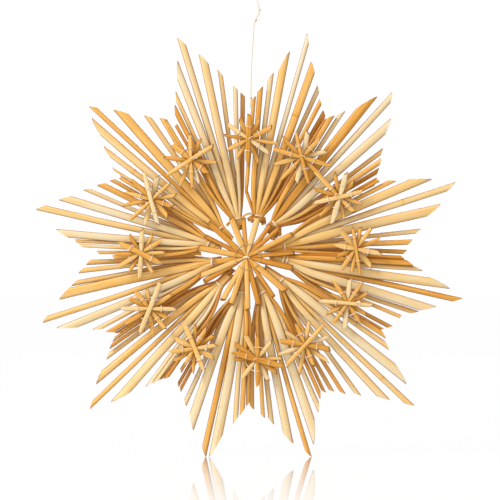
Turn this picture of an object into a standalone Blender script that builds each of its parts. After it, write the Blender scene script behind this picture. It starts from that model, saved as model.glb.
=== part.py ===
"""Straw star ornament: twelve tied fans, twelve small stars, a centre rosette and a hanging thread.

Metres and degrees, +Z up. The star hangs in the XZ plane, its front faces -Y, and the origin is
the point that the thread's eye hangs from. A bearing turns from +X towards +Z about the star's
centre. A reach is a distance from that centre.
"""

import math
from collections import namedtuple

import bmesh
import bpy
from mathutils import Vector

# The star's centre, as it hangs below the origin
CENTRE_X = -0.0071
CENTRE_Y = 0.002
CENTRE_Z = -0.1752

# Straws of a fan: widths by rank from the peak, and how they are trimmed
PEAK_WIDTH = 0.0037
SHOULDER_WIDTH = 0.0055
MIDDLE_WIDTH = 0.0031
EDGE_WIDTH = 0.0026
STRAW_DEPTH = 0.0020
CUT_ANGLE = 23.0
# How far past the waist a straw has bent to its own bearing, and its share of the full size there
BEND_LENGTH = 0.0234
BEND_WIDTH_SHARE = 0.78
BEND_DEPTH_SHARE = 0.9

# The waist where a fan is tied. Its facets stay inside the oval of the tie.
WAIST_FACET_SHARE = 0.86
WAIST_HALF_WIDTH = 0.0033
WAIST_HALF_DEPTH = 0.0026
WAIST_LENGTH = 0.0050
WAIST_STRAW_WIDTH = 0.0013
WAIST_STRAW_DEPTH = 0.0011
# The shares of their layers' step and of the waist's width that the straws take up there
WAIST_SQUEEZE = 0.75
WAIST_SPREAD = 0.85

# Depths of a fan's straws: three layers with the peak in front, and a lean that carries one flank
# past the next fan
LAYER_STEP = 0.0018
LEAN = 0.0030
LEAN_SPAN = 14.0

# The one straw with a kink: the first of this fan, bent towards the fan before it
KINKED_FAN = 2
KINK_BEARING = 15.5
KINK_REACH = 0.0416

# Thread
THREAD_WIDTH = 0.0006
BINDING_LENGTH = 0.0014
CORD_WIDTH = 0.0009
GAP = 0.0003

# Small stars
SMALL_STAR_LENGTH = 0.0340
SMALL_STRAW_WIDTH = 0.0032
SMALL_STRAW_WAIST = 0.0024
SMALL_STRAW_DEPTH = 0.0013
SMALL_LAYER_STEP = 0.0008
SMALL_CUT_ANGLE = 34.0
SMALL_RING_RADIUS = 0.0078

# Centre rosette
ROSETTE_REACH = 0.0335
ROSETTE_WIDTH = 0.0027
ROSETTE_POINT = 0.0006
ROSETTE_DEPTH = 0.0014
ROSETTE_HUB = 0.0024
ROSETTE_RING_RADIUS = 0.0085
ROSETTE_CUT_ANGLE = 30.0
# A ray starts this far out in the hub, and these shares of the full size hold at its start and at the ring
ROSETTE_START_SHARE = 0.6
ROSETTE_START_DEPTH_SHARE = 0.7
ROSETTE_RING_WIDTH_SHARE = 0.6
ROSETTE_RING_DEPTH_SHARE = 0.85
HUB_DEPTH_SHARE = 0.9

# The eye that the thread ends in, and its knots
EYE_HEIGHT = 0.0090
EYE_WIDTH = 0.0046
KNOT_RADIUS = 0.0015
# The eye's mean width and how much it narrows towards its foot, as shares of its width
EYE_MEAN_SHARE = 0.62
EYE_NARROWING = 0.38

# Facets, and the spacing of the points along the thread
WIDE_STRAW_SIDES = 6
STRAW_SIDES = 4
RING_SEGMENTS = 8
HUB_SIDES = 20
EYE_SEGMENTS = 12
CURVE_STEPS = 20
CORD_POINT_STEP = 0.0040

ROUGHNESS = 0.55

# A fan: where it is tied, the length of the stubs inside the tie, the reach of its peak, of the
# straws beside the peak and of its two edges, and the bearing of every straw's tip, with the
# peak's place among them.
Fan = namedtuple("Fan", "tie_bearing tie_reach stub peak_reach shoulder_reach edge_reach peak bearings")
FANS = (
    Fan(104.6, 0.0258, 0.0075, 0.1495, (0.1350, 0.1350), (0.1010, 0.1070), 5,
        (120, 117.5, 115, 113, 109.2, 107.6, 103.3, 98.8, 94.5, 92.1)),
    Fan(74.4, 0.0279, 0.0055, 0.1508, (0.1365, 0.1340), (0.1046, 0.1040), 4,
        (86.6, 84.4, 81.5, 78, 74.9, 71.8, 67.6, 65.2, 62.5, 60.7)),
    Fan(49.4, 0.0284, 0.0075, 0.1430, (0.1345, 0.1300), (0.1079, 0.0985), 3,
        (58, 55.8, 50.7, 48.6, 43.9, 38.7, 36.4, 34, 31)),
    Fan(16.0, 0.0260, 0.0058, 0.1443, (0.1306, 0.1306), (0.1030, 0.1007), 3,
        (29.5, 26.8, 22.6, 19.8, 15.4, 9.3, 6.1, 2.6, 0.3)),
    Fan(-4.4, 0.0254, 0.0060, 0.1430, (0.1339, 0.1274), (0.1027, 0.1008), 4,
        (-1, -3.2, -4.6, -9, -10.7, -14.5, -17.4, -20.5, -25.2, -27.5)),
    Fan(-34.5, 0.0273, 0.0090, 0.1456, (0.1326, 0.1313), (0.1046, 0.1020), 3,
        (-30.4, -33.2, -38.6, -41.4, -44.8, -50.3, -54, -56.8, -59.5)),
    Fan(-66.0, 0.0252, 0.0080, 0.1365, (0.1293, 0.1248), (0.1040, 0.0995), 3,
        (-62.7, -65.3, -70.4, -71.9, -75.8, -80.6, -83.4, -87.1)),
    Fan(-98.6, 0.0234, 0.0120, 0.1326, (0.1320, 0.1176), (0.0968, 0.0890), 4,
        (-90.2, -92.5, -94.7, -100.7, -101.4, -106.9, -111.9, -115.9, -117.5, -119.2)),
    Fan(-135.0, 0.0254, 0.0095, 0.1417, (0.1287, 0.1280), (0.0956, 0.1034), 5,
        (-124.2, -125.3, -126.7, -128, -133.2, -135.7, -139.6, -143.6, -146, -147.5)),
    Fan(-170.0, 0.0231, 0.0120, 0.1391, (0.1313, 0.1248), (0.0988, 0.1046), 4,
        (-150.2, -152.1, -154.9, -159.7, -162, -167.1, -170.5, -174.4, -177.1)),
    Fan(-199.0, 0.0264, 0.0065, 0.1404, (0.1248, 0.1274), (0.1070, 0.0975), 4,
        (-180.7, -183, -184.5, -187.9, -192.6, -196.8, -202.2, -205.5, -209.1, -211.5)),
    Fan(-226.4, 0.0254, 0.0060, 0.1417, (0.1352, 0.1287), (0.1020, 0.1066), 4,
        (-213, -213.8, -218, -222.1, -223.6, -227.8, -234, -237.9)),
)

# A small star: the bearing and reach of its middle, and the bearings of its straws, back to front
SmallStar = namedtuple("SmallStar", "bearing reach straws")
SMALL_STARS = (
    SmallStar(89.5, 0.0761, (113, 61, 170, 28, -35, 90)),
    SmallStar(61.0, 0.0735, (15, 77, -41, 45, 106, -16)),
    SmallStar(31.8, 0.0728, (-78, 44, -17, -45, 76, 13)),
    SmallStar(3.5, 0.0735, (-46, 23, 78, 54, -10, 100)),
    SmallStar(-24.0, 0.0719, (-30, 27, 84, -57, 55, -6)),
    SmallStar(-57.4, 0.0687, (-33, 78, 20, -67, -9, 47)),
    SmallStar(-83.8, 0.0667, (2, -62, -33, 51, 90, -14)),
    SmallStar(-119.0, 0.0683, (35, 88, -27, 63, 8, -67)),
    SmallStar(-151.8, 0.0715, (95, -27, 35, -50, 70, 0)),
    SmallStar(178.7, 0.0696, (-59, 57, 3, 33, -28, 90)),
    SmallStar(149.0, 0.0722, (75, 12, -47, -22, 43, -75)),
    SmallStar(119.4, 0.0738, (65, 175, 115, -40, 92, 33)),
)

ROSETTE_BEARINGS = (112, 96, 74, 53, 40, 26, 5, -15, -42, -56, -76, -89,
                    -107, -121, -140, -156, -173, 166, 149, 129)

# The thread's route above the star, from its knot on the star to its eye
CORD_ROUTE = (
    (-0.0048, -0.0046, -0.0786),
    (-0.0043, -0.0048, -0.0722),
    (-0.0043, -0.0046, -0.0640),
    (-0.0037, -0.0034, -0.0471),
    (-0.0030, -0.0018, -0.0350),
    (-0.0023, -0.0010, -0.0247),
    (-0.0013, -0.0006, -0.0215),
    (0.0006, -0.0003, -0.0172),
    (0.0012, 0.0, -0.0148),
    (0.0008, 0.0, -0.0122),
    (0.0, 0.0, -0.0096),
)
CORD_KNOTS = (("lower", 1), ("middle", 6), ("upper", 8))

COLOURS = {
    "straw_fan": (0.79, 0.55, 0.25, 1),
    "small_star": (0.74, 0.46, 0.17, 1),
    "centre_rosette": (0.82, 0.55, 0.24, 1),
    "thread": (0.88, 0.82, 0.72, 1),
}


def centre():
    return Vector((CENTRE_X, CENTRE_Y, CENTRE_Z))


def polar(bearing, reach, depth=0.0):
    """A point by its bearing and reach from the star's centre, and its depth behind the star's plane."""
    angle = math.radians(bearing)
    return centre() + Vector((reach * math.cos(angle), depth, reach * math.sin(angle)))


def lateral(direction):
    """The unit vector across a straw in the star's plane, a quarter turn on from its direction."""
    return Vector((-direction.z, 0, direction.x)).normalized()


def material(name, colour):
    made = bpy.data.materials.new(name)
    made.use_nodes = True
    shader = made.node_tree.nodes["Principled BSDF"]
    shader.inputs["Base Color"].default_value = colour
    shader.inputs["Roughness"].default_value = ROUGHNESS
    return made


def place(name, mesh, family):
    """An object of the mesh, with a material of its own in its family's colour."""
    item = bpy.data.objects.new(name, mesh)
    bpy.context.collection.objects.link(item)
    item.data.materials.clear()
    item.data.materials.append(material(name, COLOURS[family]))
    return item


def section(width, depth, sides):
    """A flattened outline across a straw: a hexagon, or a rectangle for four sides."""
    if sides == 4:
        return [(s * width / 2, t * depth / 2) for s, t in ((1, 1), (-1, 1), (-1, -1), (1, -1))]
    steps = [2 * math.pi * k / sides for k in range(sides)]
    return [(math.cos(a) * width / 2, math.sin(a) * depth / 2 / math.sin(steps[1])) for a in steps]


def straw_mesh(points, widths, depths, sides, end_cut=None, start_cut=None):
    """A closed straw through the points. A cut is (its angle, the side of its tip, 1 or -1)."""
    bm = bmesh.new()
    rings = []
    last = len(points) - 1
    for k, point in enumerate(points):
        before = points[max(k - 1, 0)]
        after = points[min(k + 1, last)]
        along = (after - before).normalized()
        across = lateral(along)
        deep = along.cross(across)
        cut = end_cut if k == last else start_cut if k == 0 else None
        ring = []
        for s, t in section(widths[k], depths[k], sides):
            corner = point + across * s + deep * t
            if cut:
                angle, tip_side = cut
                set_back = (widths[k] / 2 - tip_side * s) / math.tan(math.radians(angle))
                corner -= along * set_back * (1 if k == last else -1)
            ring.append(bm.verts.new(corner))
        rings.append(ring)
    for one, two in zip(rings, rings[1:]):
        for a in range(sides):
            b = (a + 1) % sides
            bm.faces.new((one[a], one[b], two[b], two[a]))
    bm.faces.new(rings[0])
    bm.faces.new(rings[-1][::-1])
    bmesh.ops.recalc_face_normals(bm, faces=bm.faces)
    mesh = bpy.data.meshes.new("straw")
    bm.to_mesh(mesh)
    bm.free()
    return mesh


def fuse(name, meshes, family):
    """One closed body from closed meshes that run into each other."""
    helpers = bpy.data.collections.new("helpers")
    for mesh in meshes[1:]:
        helpers.objects.link(bpy.data.objects.new("helper", mesh))
    base = bpy.data.objects.new("base", meshes[0])
    bpy.context.collection.objects.link(base)
    union = base.modifiers.new("union", "BOOLEAN")
    union.operation = "UNION"
    union.solver = "EXACT"
    union.operand_type = "COLLECTION"
    union.collection = helpers
    graph = bpy.context.evaluated_depsgraph_get()
    fused = bpy.data.meshes.new_from_object(base.evaluated_get(graph))
    fused.name = name
    for helper in list(helpers.objects) + [base]:
        bpy.data.objects.remove(helper)
    bpy.data.collections.remove(helpers)
    return place(name, fused, family)


def trimmed_reach(fan, k):
    """The reach of a straw's tip: the straws on each side of the peak are trimmed along one straight line."""
    if k == fan.peak:
        return fan.peak_reach
    side = 0 if k < fan.peak else 1
    inner = fan.peak - 1 if side == 0 else fan.peak + 1
    outer = 0 if side == 0 else len(fan.bearings) - 1
    span = math.radians(fan.bearings[outer] - fan.bearings[inner])
    part = math.radians(fan.bearings[k] - fan.bearings[inner])
    toward_inner = math.sin(span - part) / fan.shoulder_reach[side]
    toward_outer = math.sin(part) / fan.edge_reach[side]
    return math.sin(span) / (toward_inner + toward_outer)


def rank_width(fan, k):
    """A straw's width, by its place from the peak."""
    if k == fan.peak:
        return PEAK_WIDTH
    if abs(k - fan.peak) == 1:
        return SHOULDER_WIDTH
    if k in (0, len(fan.bearings) - 1):
        return EDGE_WIDTH
    return MIDDLE_WIDTH


def layer_of(fan, k):
    """The layer of a straw, -1 in front: the peak is in front, and each flank steps in and out from it."""
    if (k - fan.peak) % 2:
        return 0
    return 1 if k > fan.peak else -1


def fan_straw(fan, k):
    """One straw of a fan, from its waist to its slanted tip."""
    count = len(fan.bearings)
    width = rank_width(fan, k)
    layer = layer_of(fan, k)
    lean = max(-1, min(1, (fan.bearings[fan.peak] - fan.bearings[k]) / LEAN_SPAN))
    depth = layer * LAYER_STEP + lean * LEAN
    waist_depth = layer * LAYER_STEP * WAIST_SQUEEZE
    place_across = 1 - 2 * k / (count - 1)
    waist_offset = place_across * (WAIST_HALF_WIDTH - WAIST_STRAW_WIDTH / 2) * WAIST_SPREAD
    tie = polar(fan.tie_bearing, fan.tie_reach)
    fan_along = (tie - centre()).normalized()
    fan_across = lateral(fan_along)
    deep = Vector((0, 1, 0))
    clear = BINDING_LENGTH / 2 + 2 * GAP
    waist = tie + fan_along * clear + fan_across * waist_offset + deep * waist_depth
    tip_side = -1 if k < fan.peak else 1
    apex = polar(fan.bearings[k], trimmed_reach(fan, k), depth)
    along = (apex - waist).normalized()
    end = apex - lateral(along) * tip_side * width / 2
    if k == 0 and fan is FANS[KINKED_FAN - 1]:
        bend = polar(fan.tie_bearing + KINK_BEARING, KINK_REACH, -LAYER_STEP - LEAN)
    else:
        bend = polar(fan.bearings[k], fan.tie_reach + BEND_LENGTH, depth)
    points = [waist, bend, end]
    widths = [WAIST_STRAW_WIDTH, width * BEND_WIDTH_SHARE, width]
    depths = [WAIST_STRAW_DEPTH, STRAW_DEPTH * BEND_DEPTH_SHARE, STRAW_DEPTH]
    sides = WIDE_STRAW_SIDES if abs(k - fan.peak) <= 1 else STRAW_SIDES
    return straw_mesh(points, widths, depths, sides, end_cut=(CUT_ANGLE, tip_side))


def fan_core(fan):
    """The squeezed waist of a tied bundle, which its straws run out of, down to the ends of their stubs."""
    tie = polar(fan.tie_bearing, fan.tie_reach)
    along = (tie - centre()).normalized()
    ends = [tie - along * fan.stub, tie + along * WAIST_LENGTH / 2]
    widths = [2 * WAIST_HALF_WIDTH] * 2
    depths = [2 * WAIST_HALF_DEPTH * WAIST_FACET_SHARE] * 2
    return straw_mesh(ends, widths, depths, WIDE_STRAW_SIDES)


def ring_mesh(middle, along, half_width, half_depth, thread, length):
    """A closed band of thread round an oval, standing across the given direction."""
    across = lateral(along)
    deep = Vector((0, 1, 0))
    bm = bmesh.new()
    rings = []
    for step in range(RING_SEGMENTS):
        angle = 2 * math.pi * step / RING_SEGMENTS
        out = across * math.cos(angle) + deep * math.sin(angle)
        on_oval = across * math.cos(angle) * half_width + deep * math.sin(angle) * half_depth
        ring = []
        for s, t in ((0, -1), (1, -1), (1, 1), (0, 1)):
            corner = middle + on_oval + out * thread * s + along * length * t / 2
            ring.append(bm.verts.new(corner))
        rings.append(ring)
    for one, two in zip(rings, rings[1:] + rings[:1]):
        for a in range(4):
            b = (a + 1) % 4
            bm.faces.new((one[a], one[b], two[b], two[a]))
    bmesh.ops.recalc_face_normals(bm, faces=bm.faces)
    mesh = bpy.data.meshes.new("ring")
    bm.to_mesh(mesh)
    bm.free()
    return mesh


def fan_binding(name, fan):
    """The thread wound round a fan's waist."""
    tie = polar(fan.tie_bearing, fan.tie_reach)
    along = (tie - centre()).normalized()
    widen = 1 / math.cos(math.pi / RING_SEGMENTS)
    half_width = (WAIST_HALF_WIDTH + GAP) * widen
    half_depth = (WAIST_HALF_DEPTH + GAP) * widen
    mesh = ring_mesh(tie, along, half_width, half_depth, THREAD_WIDTH, BINDING_LENGTH)
    return place(name, mesh, "thread")


def fan_front():
    """The depth of the foremost face that any fan's straw reaches."""
    return -LAYER_STEP - LEAN - STRAW_DEPTH / 2


def small_star_front():
    return fan_front() - GAP - SMALL_STRAW_DEPTH - 5 * SMALL_LAYER_STEP


def small_star(name, star):
    """Six crossed straws, each a step further forward, squeezed where they cross."""
    middle = polar(star.bearing, star.reach)
    meshes = []
    for step, bearing in enumerate(star.straws):
        depth = fan_front() - GAP - SMALL_STRAW_DEPTH / 2 - step * SMALL_LAYER_STEP
        angle = math.radians(bearing)
        along = Vector((math.cos(angle), 0, math.sin(angle)))
        heart = middle + Vector((0, depth, 0))
        half = along * SMALL_STAR_LENGTH / 2
        side = 1 if step % 2 else -1
        meshes.append(straw_mesh(
            [heart - half, heart, heart + half],
            [SMALL_STRAW_WIDTH, SMALL_STRAW_WAIST, SMALL_STRAW_WIDTH],
            [SMALL_STRAW_DEPTH] * 3,
            STRAW_SIDES,
            end_cut=(SMALL_CUT_ANGLE, side),
            start_cut=(SMALL_CUT_ANGLE, -side),
        ))
    return fuse(name, meshes, "small_star")


def flat_ring(name, middle, radius, front):
    """A ring of thread that lies on the front of a star."""
    at = Vector((middle.x, centre().y + front - GAP - THREAD_WIDTH / 2, middle.z))
    bm = bmesh.new()
    rings = []
    for step in range(RING_SEGMENTS):
        angle = 2 * math.pi * (step + 0.5) / RING_SEGMENTS
        out = Vector((math.cos(angle), 0, math.sin(angle)))
        ring = []
        for s, t in ((-1, -1), (1, -1), (1, 1), (-1, 1)):
            corner = at + out * (radius + s * THREAD_WIDTH / 2)
            corner.y += t * THREAD_WIDTH / 2
            ring.append(bm.verts.new(corner))
        rings.append(ring)
    for one, two in zip(rings, rings[1:] + rings[:1]):
        for a in range(4):
            b = (a + 1) % 4
            bm.faces.new((one[a], one[b], two[b], two[a]))
    bmesh.ops.recalc_face_normals(bm, faces=bm.faces)
    mesh = bpy.data.meshes.new("ring")
    bm.to_mesh(mesh)
    bm.free()
    return place(name, mesh, "thread")


def rosette_back():
    """The depth of the rosette's back, which lies on the fans' bindings."""
    widen = 1 / math.cos(math.pi / RING_SEGMENTS)
    return -(WAIST_HALF_DEPTH + GAP) * widen - THREAD_WIDTH - GAP


def centre_rosette():
    """Twenty rays that taper to the middle, where they are tied."""
    depth = rosette_back() - ROSETTE_DEPTH / 2
    reaches = (ROSETTE_HUB * ROSETTE_START_SHARE, ROSETTE_RING_RADIUS, ROSETTE_REACH)
    widths = (ROSETTE_POINT, ROSETTE_WIDTH * ROSETTE_RING_WIDTH_SHARE, ROSETTE_WIDTH)
    depth_shares = (ROSETTE_START_DEPTH_SHARE, ROSETTE_RING_DEPTH_SHARE, 1)
    meshes = [disc(polar(0, 0, depth), ROSETTE_HUB, ROSETTE_DEPTH * HUB_DEPTH_SHARE)]
    for step, bearing in enumerate(ROSETTE_BEARINGS):
        side = 1 if step % 2 else -1
        meshes.append(straw_mesh(
            [polar(bearing, reach, depth) for reach in reaches],
            widths,
            [ROSETTE_DEPTH * share for share in depth_shares],
            STRAW_SIDES,
            end_cut=(ROSETTE_CUT_ANGLE, side),
        ))
    return fuse("centre_rosette", meshes, "centre_rosette")


def disc(middle, radius, depth):
    """A flat round closed body that faces forwards."""
    bm = bmesh.new()
    rings = []
    for t in (-1, 1):
        ring = []
        for step in range(HUB_SIDES):
            angle = 2 * math.pi * step / HUB_SIDES
            offset = Vector((radius * math.cos(angle), t * depth / 2, radius * math.sin(angle)))
            ring.append(bm.verts.new(middle + offset))
        rings.append(ring)
    for a in range(HUB_SIDES):
        b = (a + 1) % HUB_SIDES
        bm.faces.new((rings[0][a], rings[0][b], rings[1][b], rings[1][a]))
    bm.faces.new(rings[0])
    bm.faces.new(rings[1][::-1])
    bmesh.ops.recalc_face_normals(bm, faces=bm.faces)
    mesh = bpy.data.meshes.new("disc")
    bm.to_mesh(mesh)
    bm.free()
    return mesh


def smooth_route(route, step):
    """Evenly spaced points on a smooth curve through the route's points."""
    points = [Vector(p) for p in route]
    padded = [2 * points[0] - points[1]] + points + [2 * points[-1] - points[-2]]
    fine = []
    for a, b, c, d in zip(padded, padded[1:], padded[2:], padded[3:]):
        for k in range(CURVE_STEPS):
            t = k / CURVE_STEPS
            square = (2 * a - 5 * b + 4 * c - d) * t ** 2
            cube = (3 * b - a - 3 * c + d) * t ** 3
            fine.append((2 * b + (c - a) * t + square + cube) / 2)
    fine.append(points[-1])
    total = sum((q - p).length for p, q in zip(fine, fine[1:]))
    count = round(total / step)
    spaced = [fine[0]]
    run = 0.0
    for p, q in zip(fine, fine[1:]):
        piece = (q - p).length
        while len(spaced) < count and run + piece >= len(spaced) * total / count:
            share = (len(spaced) * total / count - run) / piece
            spaced.append(p.lerp(q, share))
        run += piece
    return spaced + [fine[-1]]


def thread_curve(name, points, width, closed=False):
    """A round thread along the points."""
    curve = bpy.data.curves.new(name, "CURVE")
    curve.dimensions = "3D"
    curve.bevel_depth = width / 2
    curve.bevel_resolution = 2
    curve.use_fill_caps = True
    spline = curve.splines.new("POLY")
    spline.points.add(len(points) - 1)
    for target, point in zip(spline.points, points):
        target.co = (*point, 1)
    spline.use_cyclic_u = closed
    item = bpy.data.objects.new(name, curve)
    bpy.context.collection.objects.link(item)
    curve.materials.append(material(name, COLOURS["thread"]))
    return item


def hanging_thread():
    """The thread from its knot on the star up to its eye, the knots on it and the eye itself."""
    thread_curve("hanging_thread", smooth_route(CORD_ROUTE, CORD_POINT_STEP), CORD_WIDTH)
    for name, k in CORD_KNOTS:
        before = Vector(CORD_ROUTE[k - 1])
        after = Vector(CORD_ROUTE[k + 1])
        along = (after - before).normalized()
        hole = CORD_WIDTH / 2 + 2 * GAP
        mesh = ring_mesh(Vector(CORD_ROUTE[k]), along, hole, hole, KNOT_RADIUS - hole, KNOT_RADIUS)
        place(f"thread_knot_{name}", mesh, "thread")
    middle = Vector((0, 0, (THREAD_WIDTH - EYE_HEIGHT) / 2))
    points = []
    for step in range(EYE_SEGMENTS):
        angle = 2 * math.pi * step / EYE_SEGMENTS
        half_width = EYE_WIDTH / 2 * (EYE_MEAN_SHARE + EYE_NARROWING * math.sin(angle))
        up = (EYE_HEIGHT - THREAD_WIDTH) / 2 * math.sin(angle)
        points.append(middle + Vector((half_width * math.cos(angle), 0, up)))
    thread_curve("thread_eye", points, THREAD_WIDTH, closed=True)


def main():
    for item in list(bpy.data.objects):
        bpy.data.objects.remove(item)
    for number, fan in enumerate(FANS, 1):
        straws = [fan_straw(fan, k) for k in range(len(fan.bearings))]
        fuse(f"straw_fan_{number:02}", [fan_core(fan)] + straws, "straw_fan")
        fan_binding(f"fan_binding_{number:02}", fan)
    for number, star in enumerate(SMALL_STARS, 1):
        small_star(f"small_star_{number:02}", star)
        middle = polar(star.bearing, star.reach)
        flat_ring(f"small_star_thread_{number:02}", middle, SMALL_RING_RADIUS, small_star_front())
    centre_rosette()
    flat_ring("rosette_thread", centre(), ROSETTE_RING_RADIUS, rosette_back() - ROSETTE_DEPTH)
    hanging_thread()


main()
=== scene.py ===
"""Straw star ornament: fans of natural straw, small stars, rosette and threads, on a plain stage."""

import math
import random
from collections import namedtuple

import bpy
import numpy as np
from bpy.props import FloatProperty, FloatVectorProperty, PointerProperty
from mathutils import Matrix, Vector


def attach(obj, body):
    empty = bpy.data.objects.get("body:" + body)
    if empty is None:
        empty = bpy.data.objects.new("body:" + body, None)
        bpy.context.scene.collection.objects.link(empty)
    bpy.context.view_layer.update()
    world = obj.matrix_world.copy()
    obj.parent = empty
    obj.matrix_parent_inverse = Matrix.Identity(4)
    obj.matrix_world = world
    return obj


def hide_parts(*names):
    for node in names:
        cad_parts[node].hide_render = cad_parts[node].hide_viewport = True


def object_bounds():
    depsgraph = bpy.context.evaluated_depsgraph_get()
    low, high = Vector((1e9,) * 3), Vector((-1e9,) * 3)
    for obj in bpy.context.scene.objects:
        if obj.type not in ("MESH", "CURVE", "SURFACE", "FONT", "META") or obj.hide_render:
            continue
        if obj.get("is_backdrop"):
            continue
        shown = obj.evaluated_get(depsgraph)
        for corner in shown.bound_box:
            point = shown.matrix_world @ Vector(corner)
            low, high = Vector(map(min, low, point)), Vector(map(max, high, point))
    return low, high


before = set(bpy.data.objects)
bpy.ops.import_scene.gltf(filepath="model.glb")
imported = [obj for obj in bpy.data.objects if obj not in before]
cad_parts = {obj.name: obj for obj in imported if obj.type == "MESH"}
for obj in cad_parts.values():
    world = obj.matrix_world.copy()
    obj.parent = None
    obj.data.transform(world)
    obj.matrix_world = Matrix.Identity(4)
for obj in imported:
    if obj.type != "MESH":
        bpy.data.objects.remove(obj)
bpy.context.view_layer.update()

bl_info = {
    "name": "Straw Star Ornament",
    "version": (1, 0, 0),
    "blender": (4, 5, 0),
    "location": "View3D > Sidebar > Straw Star",
    "description": "Builds a hanging star of tied straws with small stars, a rosette and its thread",
    "category": "Add Mesh",
}

# The star's centre, in metres from the point that it hangs from
CENTRE = np.array((-0.0071, 0.002, -0.1752))

# Reaches, widths and places in the tables are multiples of this. Other lengths are in metres.
UNIT = 0.00065

# How far from the centre the straws bend, where neighbouring fans meet, in those units
KNEE_REACH = 66

# How much wider a fan's straws and the rosette's rays are than the flat that shows in the tables
WIDEN = 1.03
RAY_WIDEN = 1.14

# How much a slanted cut curves into the straw's long side: 1 for a straight cut
CUT_CURVE = 1.35

# How far a fan's straw bows sideways between its knee and its tip
BOW = 0.0006

# How flat a straw's front is: 1 for an ellipse, less for a flatter straw with rounder corners
FLATNESS = 0.88

# The largest share that a fan straw's thickness takes of its width, and any straw's wall of either
ROUNDEST = 0.72
THICKEST_WALL = 0.2

# A straw's node ring: how likely a fan's straw shows one, its swelling and the length of that, the
# places beside it where the mesh has a ring, and how far the other rings keep away
KNUCKLE_CHANCE = 0.16
KNUCKLE_SWELL = 0.0003
KNUCKLE_LENGTH = 0.0006
KNUCKLE_MESH = np.array((-0.0016, -0.0008, -0.00035, 0, 0.00035, 0.0008, 0.0016))
KNUCKLE_CLEAR = 0.002

# A fan's layers: the steps between them in its rays, at its waist and in its stubs. Its left flank
# leans forward and its right flank back by the lean, at this many degrees from its peak.
LAYER_STEP = 0.0018
WAIST_STEP = 0.00135
STUB_STEP = 0.0003
LEAN = 0.0030
LEAN_SPAN = 14.0

# Half the width of a fan's waist, and how much wider and thicker a straw is at the end of its stub
WAIST_HALF_WIDTH = 0.0026
STUB_WIDER = 0.7
STUB_THICKER = 0.25

# How far stubs spread, as a share of their places at the waist, and what each millimetre of them takes off
SPLAY = (0.1, 0.3)
SPLAY_LOSS = 0.045

# The front of the fans, the gap to the small stars, the step between the straws of a small star, and
# the share of it by which their ends bend together
FAN_FRONT = -0.0058
GAP = 0.0003
SMALL_LAYER_STEP = 0.0008
SMALL_BEND = 0.55

# The materials' tone for 0 in the tables, and what each of the tables' steps adds to it
FAN_TONES = (0.06, 0.083)
CUT_END_TONES = (0.1, 1 / 12)
SMALL_STAR_TONES = (0.0, 0.1)
ROSETTE_TONES = (0.30, 0.08)

# How much darker a straw is at a fan's tie, a small star's middle, the rosette's middle and the tip of
# its ray, and how much a fan's straw fades from tie to tip. The darkening at a fan's tie and in its
# stubs, and at the rosette's middle, is painted shade where the straws crowd together.
TIE_PAINTED_SHADE = 0.1
SMALL_TIE_SHADE = 0.08
ROSETTE_PAINTED_SHADE = 0.06
RAY_TIP_SHADE = 0.3
FADE = 0.04
FADE_MIDDLE = 0.45

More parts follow.
